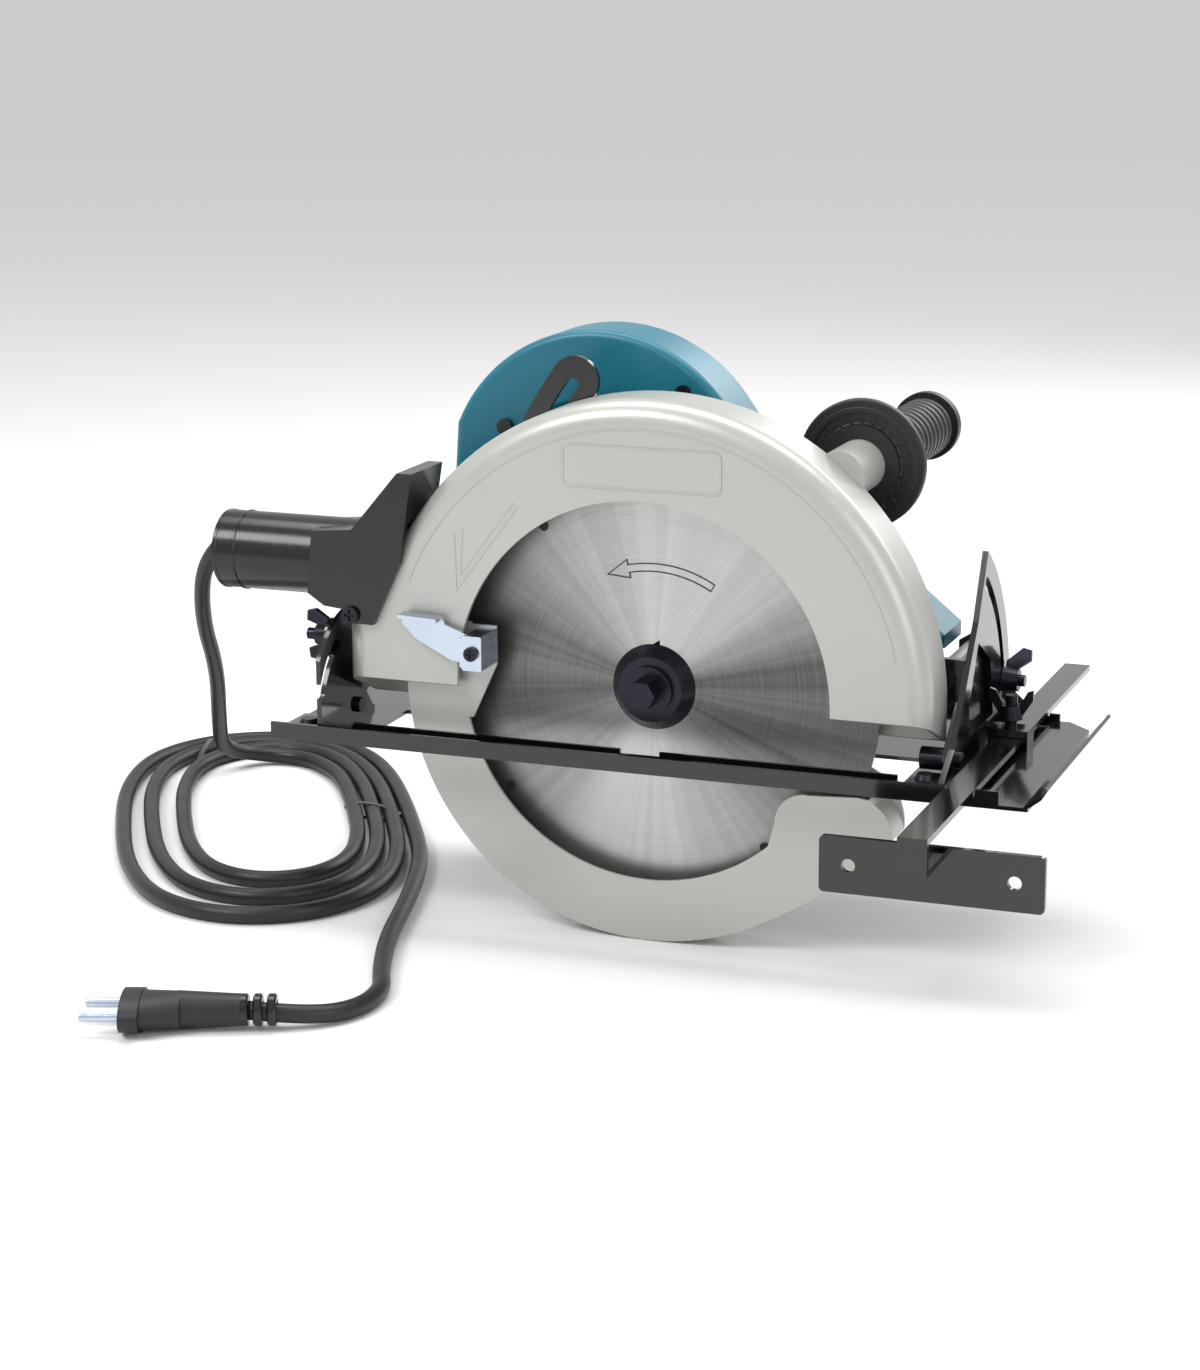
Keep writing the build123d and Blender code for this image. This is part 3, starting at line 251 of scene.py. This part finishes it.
COATED = {
    "case_paint": coated("case_paint", (0.43, 0.43, 0.405), 0.34, 0.03, 0.05, 1.4, 0.10, Metallic=0.35),
    "casting": coated("cast_alloy", (0.34, 0.345, 0.34), 0.5, 0.12, 0.10, 0.8, 0.35, Metallic=0.7),
    "housing_plastic": coated("teal_nylon", (0.0015, 0.135, 0.20), 0.36, 0.06, 0.06, 0.35, 0.16),
    "black_enamel": coated(
        "black_enamel", (0.004, 0.004, 0.0045), 0.14, 0.15, 0.05, 3.0, 0.07, Coat_Weight=0.35, Coat_Roughness=0.05
    ),
    "black_plastic": coated("black_plastic", (0.0045, 0.0045, 0.006), 0.2, 0.12, 0.06, 0.6, 0.08),
    "grip_rubber": coated("black_rubber", (0.007, 0.007, 0.0075), 0.45, 0.2, 0.10, 0.5, 0.25),
    "dark_steel": coated("blued_steel", (0.02, 0.021, 0.03), 0.27, 0.2, 0.10, 0.5, 0.10, Metallic=0.75),
    "zinc": coated("zinc_plate", (0.50, 0.57, 0.66), 0.24, 0.12, 0.12, 0.7, 0.10, Metallic=1.0),
    "brass": coated("brass", (0.66, 0.44, 0.17), 0.30, 0.10, 0.10, 0.4, 0.10, Metallic=1.0),
    "fan_plastic": coated("fan_nylon", (0.02, 0.02, 0.022), 0.42, 0.15, 0.06, 0.4, 0.15),
}
print("coated finishes:", len(COATED))

# %% [markdown]
# The blade is ground flat on a turning wheel, so its scratches are circles
# round the bore. Under a soft light such a disc shows fans of reflected
# light that run from the bore to the rim, dark ones and bright ones. An
# anisotropic shader gives fans too, but they follow the lights and the
# baked model would lose them. Here the fans are painted reflection in the
# colour: they come from noise on the direction to the bore, which has no
# seam, and from a fixed tilted pattern round it. The scratches come from
# noise on the distance to the bore.


# %% Polar coordinates about the spindle
def around_spindle(wire):
    """The distance from the spindle in metres, and the unit direction's two parts."""
    place = wire.add("TexCoord", output="Object")
    centred = wire.add("VectorMath", {"operation": "SUBTRACT"}, {0: place, 1: SPINDLE})
    x = centred.add("SeparateXYZ", {}, {"Vector": centred}, output="X")
    z = x.part("Z")
    distance = wire.maths("MAXIMUM", wire.maths("SQRT", x * x + z * z), 1 * MM)
    return distance, x / distance, z / distance



# %% The ground blade and the turned steel
def ground_steel(name, dark, light, painted_fan_share, scratch_per_m, **uniform):
    material, shader, wire = new_finish(name, Metallic=1.0, **uniform)
    distance, across, up = around_spindle(wire)
    # cos of twice the angle: 1 to the left and right, -1 above and below; the main pattern of the painted
    # reflection fans
    sideways = across * across - up * up
    tilted = sideways * 0.94 - across * up * 0.55
    direction = wire.add("CombineXYZ", {}, {"X": across, "Y": up, "Z": 0.4})
    broad = wire.add("TexNoise", {}, {"Vector": direction, "Scale": 2.1, "Detail": 1.0}, output="Fac")
    narrow = wire.add("TexNoise", {}, {"Vector": direction, "Scale": 16.0, "Detail": 5.0}, output="Fac")
    rings = wire.add("CombineXYZ", {}, {"X": distance * scratch_per_m, "Y": across * 1.6, "Z": up * 1.6})
    scratch = wire.add("TexNoise", {}, {"Vector": rings, "Scale": 1.0, "Detail": 4.0}, output="Fac")
    # painted reflection: the fans lighten and darken the colour (shade below), as light off the circular
    # scratches would
    painted_reflection_fans = tilted.between(-0.75, 0.95) * 0.62 + broad.between(0.3, 0.7) * 0.22 + narrow.between(0.25, 0.75) * 0.16
    shade = 1 - painted_reflection_fans * painted_fan_share
    feed(
        shader,
        Base_Color=(shade - (scratch - 0.5) * 0.22).between(0.0, 1.0).tint(dark, light),
        Roughness=0.36 + (scratch - 0.5) * 0.22 + painted_reflection_fans * 0.08,
        Normal=wire.add("Bump", {}, {"Height": scratch, "Strength": 0.12, "Distance": 0.1 * MM}),
    )
    return material


# the third number is how strongly the painted reflection fans darken the colour
GROUND = {
    "blade_steel": ground_steel("ground_blade", (0.035, 0.033, 0.033), (0.60, 0.59, 0.58), 0.95, 2600.0),
    "machined_steel": ground_steel("turned_steel", (0.25, 0.25, 0.26), (0.62, 0.62, 0.63), 0.4, 1500.0),
}

# %% Give every CAD part the finish of its material slot
FINISH = {**COATED, **GROUND}
slot_of = {part["node"]: part["material_slot"] for part in frame["record"]["subparts"]}
for node, part in frame["nodes"].items():
    part.data.materials.clear()
    part.data.materials.append(FINISH[slot_of[node]])
print("parts with a finish:", len(slot_of))

# %% [markdown]
# The lead is 9 mm thick black rubber. Rubber cable is slightly dull, with
# faint marks along its length from the die and scuffs where it has rubbed.
# The pattern follows the cord's own length, so it reads the UV map that
# the tube gets when it is made.

# %% The cord's rubber
def cord_rubber():
    material, shader, wire = new_finish("cord_rubber", Specular_IOR_Level=0.45)
    along = wire.add("UVMap", {"uv_map": "along"})
    drawn = wire.add("Mapping", {}, {"Vector": along, "Scale": (3.0, 60.0, 1.0)})
    lines = wire.add("TexNoise", {}, {"Vector": drawn, "Scale": 1.0, "Detail": 3.0}, output="Fac")
    scuffs = wire.add("TexNoise", {}, {"Vector": along, "Scale": 30.0, "Detail": 4.0}, output="Fac")
    feed(
        shader,
        Base_Color=scuffs.between(0.35, 0.8).tint((0.006, 0.006, 0.0065), (0.014, 0.014, 0.015)),
        Roughness=0.42 + (scuffs - 0.5) * 0.3 + (lines - 0.5) * 0.1,
        Normal=wire.add(
            "Bump", {}, {"Height": lines * 0.5 + scuffs * 0.5, "Strength": 0.15, "Distance": 0.3 * MM}
        ),
    )
    return material


CORD_RUBBER = cord_rubber()

# %% [markdown]
# The mains lead is a fixed length of stiff rubber cable. It leaves the rear
# handle through a tapered guard, hangs in one arc to the floor, goes round
# three loose oval loops that two twist ties hold, and ends in a plug. Its
# line is one NURBS curve with few control points, which bends as smoothly
# as cable does. Points taken off arcs and straight runs would look like
# bent wire.

# %% The lead's control points
CORD_D = 9 * MM
LAY_Z = -91 * MM
FALL = [
    (-179, 68, 82), (-214, 68, 86), (-256, 69, 87), (-290, 76, 62), (-303, 95, 24), (-312, 128, -14),
    (-328, 158, -52), (-342, 186, -80), (-333, 216, -90), (-303, 221, -91), (-278, 203, -91),
]
TAIL = [
    (-167, 84, -91), (-147.5, 38, -91), (-132, -12, -91), (-118, -66, -91), (-100, -113, -91), (-87, -139, -91),
    (-89, -168, -91), (-107, -187.5, -88.7), (-132, -195, -86.3),
]
COIL = Vector((-262, 86, LAY_Z / MM))
COIL_TURN = Matrix.Rotation(math.radians(119), 3, "Z")
# how far each turn reaches from the coil's middle, in mm: right, left, far end, near end
REACH = [
    (50, 40, 152, 94), (60.5, 50, 169.5, 120), (70.5, 74, 182, 158), (81, 84, 194, 172), (90, 90, 205, 180),
]
STEPS = 14                  # control points in each turn
START_ANGLE, LAST_STEP = 245, 42
SQUARENESS = 0.4            # 0 makes true ellipses, whose ends would be too tight


def coil_point(step):
    """A point of the loops, which spiral outwards without crossing."""
    turn, share = step // STEPS, step % STEPS / STEPS
    right, left, far, near = (a + (b - a) * share for a, b in zip(REACH[turn], REACH[turn + 1]))
    angle = math.radians(START_ANGLE + 360 * share)
    rounding = 1 + SQUARENESS * math.cos(angle) ** 2
    lengthways = (far - near) / 2 - (far + near) / 2 * math.cos(angle)
    sideways = (left - right) / 2 + (left + right) / 2 * math.sin(angle) * rounding
    return COIL + COIL_TURN @ Vector((lengthways, sideways, 0))


loops = [coil_point(step) for step in range(LAST_STEP + 1)]
ROUTE = [Vector(p) * MM for p in (*FALL, *loops, *TAIL)]
print("control points:", len(ROUTE))


# %% Read the smooth line off the NURBS curve
def smooth_line(points, resolution=8):
    """Points along the curve that the control points pull into shape."""
    curve = bpy.data.curves.new("route", "CURVE")
    curve.dimensions = "3D"
    curve.resolution_u = resolution
    spline = curve.splines.new("NURBS")
    spline.points.add(len(points) - 1)
    for control, place in zip(spline.points, points):
        control.co = (*place, 1)
    spline.order_u = 3
    spline.use_endpoint_u = True
    holder = link("route", curve)
    bpy.context.view_layer.update()
    mesh = bpy.data.meshes.new_from_object(holder)
    line = [v.co.copy() for v in mesh.vertices]
    bpy.data.objects.remove(holder)
    bpy.data.meshes.remove(mesh)
    return line


LEAD_LINE = smooth_line(ROUTE)

# %% [markdown]
# A tube along a line can be a bevelled curve, but a mesh can carry the UV
# map that the rubber's marks follow. One ring of 14 vertices is extruded
# from point to point, and each new ring is turned by the least angle, so
# the tube never twists.


# %% Sweep a round section along a line
def tube_mesh(line, radius, sides=14):
    """A closed tube with a UV map called along: metres along the cord, and the way round."""
    shape = bmesh.new()
    layer = shape.loops.layers.uv.new("along")
    heading = (line[1] - line[0]).normalized()
    first = Matrix.Translation(line[0]) @ heading.to_track_quat("Z", "Y").to_matrix().to_4x4()
    ring = bmesh.ops.create_circle(shape, segments=sides, radius=radius, matrix=first, cap_ends=True)["verts"]
    edges = list({e for v in ring for e in v.link_edges})
    travelled = 0.0
    start_of = {v: 0.0 for v in ring}
    for i in range(1, len(line)):
        after = line[min(i + 1, len(line) - 1)]
        new_heading = (after - line[i - 1]).normalized()
        made = bmesh.ops.extrude_edge_only(shape, edges=edges)["geom"]
        edges = [g for g in made if isinstance(g, bmesh.types.BMEdge) and len(g.link_faces) == 1]
        ring = list({v for e in edges for v in e.verts})
        turn = heading.rotation_difference(new_heading).to_matrix().to_4x4()
        step = Matrix.Translation(line[i]) @ turn @ Matrix.Translation(-line[i - 1])
        bmesh.ops.transform(shape, matrix=step, verts=ring)
        travelled += (line[i] - line[i - 1]).length
        start_of.update({v: travelled for v in ring})
        heading = new_heading
    bmesh.ops.contextual_create(shape, geom=edges)
    for face in shape.faces:
        face.smooth = len(face.verts) == 4
        middle = sum((start_of[v] for v in face.verts)) / len(face.verts)
        for number, loop in enumerate(face.loops):
            loop[layer].uv = (start_of.get(loop.vert, middle), number % 2 * math.pi * radius * 2 / sides)
    bmesh.ops.recalc_face_normals(shape, faces=shape.faces)
    mesh = bpy.data.meshes.new("tube")
    shape.to_mesh(mesh)
    shape.free()
    return mesh


lead = link("mains_lead", tube_mesh(LEAD_LINE, CORD_D / 2))
lead.data.materials.append(CORD_RUBBER)
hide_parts("cord_tube", "cord_coil", "plug_lead")
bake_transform(lead)

# %% [markdown]
# The plug is moulded on: its neck has square ribs with gaps between them,
# so that it bends a little and the cable can't kink. The ribs are rings of
# spun profile threaded on the plug's axis.


# %% Spin a profile into a ring
SHARP_ANGLE = math.radians(40)


def ring_shape(shape, profile, steps=40):
    """Spin (radius, height) points round Z and close them into a solid ring."""
    verts = [shape.verts.new((radius, 0, height)) for radius, height in profile]
    edges = [shape.edges.new(pair) for pair in zip(verts, verts[1:] + verts[:1])]
    bmesh.ops.spin(
        shape, geom=verts + edges, angle=2 * math.pi, steps=steps, axis=(0, 0, 1), cent=(0, 0, 0), use_merge=True
    )
    return shape


def stand(shape, place, axis):
    """Turn a shape's Z to an axis and move it there."""
    turn = Vector(axis).to_track_quat("Z", "Y").to_matrix().to_4x4()
    bmesh.ops.transform(shape, matrix=Matrix.Translation(place) @ turn, verts=shape.verts)


def add_piece(name, shape, finish, body):
    """Clean a shape, put its finish on and let it ride on a body."""
    bmesh.ops.remove_doubles(shape, verts=shape.verts, dist=0.01 * MM)
    bmesh.ops.recalc_face_normals(shape, faces=shape.faces)
    mesh = bpy.data.meshes.new(name)
    shape.to_mesh(mesh)
    shape.free()
    mesh.shade_smooth()
    mesh.set_sharp_from_angle(angle=SHARP_ANGLE)
    made = link(name, mesh)
    mesh.materials.append(finish)
    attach(made, body)
    return made


def merge_into(whole, shape):
    """Move one shape's faces into another."""
    mesh = bpy.data.meshes.new("part")
    shape.to_mesh(mesh)
    shape.free()
    whole.from_mesh(mesh)
    bpy.data.meshes.remove(mesh)


def rings(places, profile, steps=40):
    """The same spun ring at several (point, axis) places."""
    whole = bmesh.new()
    for place, axis in places:
        one = ring_shape(bmesh.new(), profile, steps)
        stand(one, place, axis)
        merge_into(whole, one)
    return whole


def rounded_profile(inner, outer, low, high, corner):
    """A ring's section with its outer corners cut."""
    return [
        (inner, low), (outer - corner, low), (outer, low + corner),
        (outer, high - corner), (outer - corner, high), (inner, high),
    ]


# %% The plug's ribs
PLUG_FOOT = Vector(TAIL[-1]) * MM
PLUG_TURN = math.radians(200)
PLUG_AXIS = Vector((math.cos(PLUG_TURN), math.sin(PLUG_TURN), 0))
RIB_AT = [-16, -9.5, -3]
rib_section = rounded_profile(4.3 * MM, 7.6 * MM, 0, 4.2 * MM, 0.8 * MM)
plug_ribs = add_piece(
    "plug_ribs",
    rings([(PLUG_FOOT + PLUG_AXIS * (at * MM), PLUG_AXIS) for at in RIB_AT], rib_section),
    COATED["black_plastic"], "carriage",
)

# %% [markdown]
# Two twist ties hold the loops: one at the far end and one on the side next
# to the blade. Each is a thin band pulled tight across the strands, so its
# ring is spun one metre in radius and then squeezed to the strands' width
# and height. A torus would be as simple, but its band would be round.


# %% The ties
TIE_BREADTH = 3 * MM
TIE_HALF_HEIGHT = CORD_D * 0.52
STRAND_SIDE = 6 * MM        # from the middle of an end strand to the tie's outside
TIE_THINNESS = 0.055        # the band's thickness as a share of its half width
TIE_CORNER = 0.4 * MM


def tie(name, inner_strand, outer_strand):
    """An oval band that lies across the strands between two points, the end strands' middles."""
    across = (outer_strand - inner_strand).normalized()
    middle = (inner_strand + outer_strand) / 2
    reach = (outer_strand - inner_strand).length / 2 + STRAND_SIDE
    half = TIE_BREADTH / 2
    shape = ring_shape(bmesh.new(), rounded_profile(1 - TIE_THINNESS, 1.0, -half, half, TIE_CORNER), 48)
    axes = Matrix((across, Vector((0, 0, 1)), Vector((-across.y, across.x, 0)))).transposed()
    squeeze = Matrix.Diagonal((reach, TIE_HALF_HEIGHT, 1))
    turned = (axes @ squeeze).to_4x4()
    bmesh.ops.transform(shape, matrix=Matrix.Translation(middle) @ turned, verts=shape.verts)
    return add_piece(name, shape, COATED["black_plastic"], "carriage")


# the first and last strand that each tie holds, as steps of the loops
TIES = {"tie_far": (10, 39), "tie_side": (1, 29)}
made_ties = [
    tie(name, coil_point(first) * MM, coil_point(last) * MM) for name, (first, last) in TIES.items()
]

# %% [markdown]
# The case is pressed from sheet and painted. Its face has a fine step that
# runs round the blade opening, a blank raised badge above it, and an open
# arrow mark behind the blade. These are thin raised beads. A bead starts as
# a chain of edges on the face, extruded outwards and then thickened, so one
# helper makes them all.


# %% A raised bead along a line on an upright face
def bead(shape, points, face_y, lift, width, closed=False):
    """Points are (x, z) in mm on the face at y; the bead stands towards the viewer."""
    verts = [shape.verts.new((x * MM, (face_y + 0.1) * MM, z * MM)) for x, z in points]
    pairs = list(zip(verts, verts[1:] + verts[:1]))
    edges = [shape.edges.new(pair) for pair in (pairs if closed else pairs[:-1])]
    made = bmesh.ops.extrude_edge_only(shape, edges=edges)["geom"]
    raised = [g for g in made if isinstance(g, bmesh.types.BMVert)]
    bmesh.ops.translate(shape, verts=raised, vec=(0, -(lift + 0.1) * MM, 0))
    faces = list({f for v in raised for f in v.link_faces})
    bmesh.ops.solidify(shape, geom=faces, thickness=width * MM)
    return shape


def arc_points(centre, radius, start, end, steps):
    """Points (x, z) on an arc, in degrees from the right, counted upwards."""
    sweep = [math.radians(start + (end - start) * i / steps) for i in range(steps + 1)]
    return [(centre[0] + radius * math.cos(a), centre[1] + radius * math.sin(a)) for a in sweep]


HUB = (0.0, 32.5)
CASE_FACE_Y = -22.0
BLADE_FACE_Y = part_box("blade")[0].y / MM

step_line = bead(bmesh.new(), arc_points(HUB, 131.5, 12, 158, 90), CASE_FACE_Y, 0.35, 0.7)
add_piece("case_step_line", step_line, COATED["case_paint"], "saw_body")

# %% The blank badge: a rounded frame round a slightly raised plate
BADGE = (1.0, 145.3, 80.0, 19.5, 3.0)   # middle x and z, width, height, corner radius


def rounded_frame(middle_x, middle_z, width, height, corner):
    """The outline of a plate with round corners, as (x, z) points in mm."""
    half_w, half_h = width / 2 - corner, height / 2 - corner
    outline = []
    for sign_x, sign_z, start in ((1, 1, 0), (-1, 1, 90), (-1, -1, 180), (1, -1, 270)):
        centre = (middle_x + sign_x * half_w, middle_z + sign_z * half_h)
        outline += arc_points(centre, corner, start, start + 90, 6)
    return outline


badge = bead(bmesh.new(), rounded_frame(*BADGE), CASE_FACE_Y, 0.55, 0.7, closed=True)
badge_plate = bmesh.new()
corners = [badge_plate.verts.new((x * MM, (CASE_FACE_Y + 0.1) * MM, z * MM)) for x, z in rounded_frame(*BADGE)]
plate_face = badge_plate.faces.new(corners)
lifted = bmesh.ops.extrude_face_region(badge_plate, geom=[plate_face])["geom"]
top = [g for g in lifted if isinstance(g, bmesh.types.BMVert)]
bmesh.ops.translate(badge_plate, verts=top, vec=(0, -0.35 * MM, 0))
merge_into(badge, badge_plate)
add_piece("case_badge", badge, COATED["case_paint"], "saw_body")

# %% The open arrow mark behind the blade
MARK = [(-97.0, 107.6), (-96.5, 79.3), (-63.8, 122.6)]
mark = bmesh.new()
for dx, dz in ((0, 0), (4.4, 2.6)):
    tip_shift = (MARK[1][0] + dx * 0.55, MARK[1][1] + dz * 3.2)
    chain = [(MARK[0][0] + dx, MARK[0][1] + dz), tip_shift, (MARK[2][0] - dx * 0.4, MARK[2][1] + dz)]
    bead(mark, chain, CASE_FACE_Y, 0.3, 0.55)
add_piece("case_mark", mark, COATED["case_paint"], "saw_body")

# %% [markdown]
# The blade carries a printed arrow for its turning direction, and small
# holes that end its expansion slots. The arrow is a bead only a tenth of a
# millimetre high, in dark ink. It rides on the blade, so it turns with it.
# The holes are not cut: each is a thin disc of the same dark ink, painted
# shade where the blade would be open, and it turns with the blade too.

# %% The blade's arrow, and painted shade for its slot-end holes
# dark ink for the printed arrow, and painted shade for the slot-end holes
INK_AND_HOLE_SHADE = coated("dark_ink", (0.02, 0.018, 0.018), 0.55, 0.1, 0.05, 0.5, 0.05)
outer_arc = arc_points(HUB, 62.0, 60, 103, 24)
inner_arc = arc_points(HUB, 58.6, 103, 60, 24)
point_at = math.radians(113)
arrow_head = [
    (HUB[0] + r * math.cos(a), HUB[1] + r * math.sin(a))
    for r, a in ((64.6, math.radians(103)), (60.3, point_at), (56.0, math.radians(103)))
]
arrow = bead(bmesh.new(), outer_arc + arrow_head + inner_arc, BLADE_FACE_Y, 0.08, 0.5, closed=True)
add_piece("blade_arrow", arrow, INK_AND_HOLE_SHADE, "blade_drive")


def painted_hole_shade(place):
    """A small dished ring in dark ink, painted shade that reads as a drilled hole."""
    hole = bmesh.new()
    made = bmesh.ops.create_circle(hole, cap_ends=True, segments=24, radius=2.4 * MM)
    inner = bmesh.ops.inset_region(hole, faces=made["verts"][0].link_faces[:], thickness=0.5 * MM, depth=0)
    middle = [f for f in hole.faces if f not in inner["faces"]]
    bmesh.ops.translate(hole, verts=middle[0].verts[:], vec=(0, 0, 0.05 * MM))
    bmesh.ops.solidify(hole, geom=hole.faces[:], thickness=0.12 * MM)
    stand(hole, place, (0, -1, 0))
    return hole


SLOT_RADIUS, SLOT_ANGLES = 96.5, (127, 217, 307, 37)
# dark discs of painted shade where the blade's slot-end holes would open
hole_shades = bmesh.new()
for angle in SLOT_ANGLES:
    spot = arc_points(HUB, SLOT_RADIUS, angle, angle, 1)[0]
    merge_into(hole_shades, painted_hole_shade((spot[0] * MM, (BLADE_FACE_Y - 0.05) * MM, spot[1] * MM)))
add_piece("blade_slot_ends", hole_shades, INK_AND_HOLE_SHADE, "blade_drive")

# %% [markdown]
# The side grip is moulded rubber over plastic: a wide disc keeps the hand
# off the case, and the barrel has rings that fingers settle between. The
# disc has a raised ring and short ribs on the face that points at the case.

# %% The side grip's rings and ribs
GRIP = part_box("side_grip")
GRIP_X, GRIP_Z = (GRIP[0].x + GRIP[1].x) / 2, (GRIP[0].z + GRIP[1].z) / 2
print("side grip, mm:", [round(size / MM) for size in GRIP[1] - GRIP[0]])
BARREL_R = 14.5
FIRST_RING_Y, RING_PITCH, RING_COUNT = 66.0, 7.5, 14
barrel_rings = [
    ((GRIP_X, (FIRST_RING_Y + RING_PITCH * number) * MM, GRIP_Z), (0, 1, 0)) for number in range(RING_COUNT)
]
ring_section = rounded_profile((BARREL_R - 0.8) * MM, (BARREL_R + 1.1) * MM, 0, 4.6 * MM, 0.9 * MM)
grip_detail = rings(barrel_rings, ring_section)
# the raised ring on the hand guard
DISC_FACE_Y = 50.2
disc_section = rounded_profile(26.0 * MM, 28.6 * MM, -0.4 * MM, 1.0 * MM, 0.4 * MM)
merge_into(grip_detail, rings([((GRIP_X, DISC_FACE_Y * MM, GRIP_Z), (0, -1, 0))], disc_section, 64))

# %% The short ribs inside the ring
RIB_COUNT = 24
RIB_SIZE = Vector((5.2, 1.4, 1.0)) * MM
RIB_RADIUS = 22.6 * MM
face_the_case = Matrix.Translation((GRIP_X, 0, GRIP_Z)) @ Matrix.Rotation(math.radians(-90), 4, "X")
for number in range(RIB_COUNT):
    rib = bmesh.new()
    bmesh.ops.create_cube(rib, size=1)
    bmesh.ops.scale(rib, verts=rib.verts, vec=RIB_SIZE)
    bmesh.ops.bevel(
        rib, geom=rib.edges[:], offset=0.25 * MM, affect="EDGES", segments=1, profile=0.5, material=-1
    )
    bmesh.ops.translate(rib, verts=rib.verts, vec=(RIB_RADIUS, 0, 50.0 * MM))
    place_on_ring = Matrix.Rotation(2 * math.pi * number / RIB_COUNT, 4, "Z")
    bmesh.ops.transform(rib, verts=rib.verts, matrix=face_the_case @ place_on_ring)
    merge_into(grip_detail, rib)
add_piece("grip_rings", grip_detail, COATED["grip_rubber"], "saw_body")

# %% [markdown]
# The dust nozzle is a glossy moulding with a thin joint ring round its
# barrel, where a hose cuff stops, and a rolled lip at its mouth.

# %% The nozzle's rings
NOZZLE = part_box("dust_nozzle")
NOZZLE_MOUTH = Vector((NOZZLE[0].x, -3 * MM, 87 * MM))
joint_section = rounded_profile(19.6 * MM, 20.5 * MM, 0, 1.6 * MM, 0.3 * MM)
lip_section = rounded_profile(17.9 * MM, 20.3 * MM, 0, 2.2 * MM, 0.4 * MM)
nozzle_rings = rings([(NOZZLE_MOUTH + Vector((11 * MM, 0, 0)), (1, 0, 0))], joint_section, 64)
merge_into(nozzle_rings, rings([(NOZZLE_MOUTH + Vector((0.1 * MM, 0, 0)), (1, 0, 0))], lip_section, 64))
add_piece("nozzle_rings", nozzle_rings, COATED["black_plastic"], "saw_body")
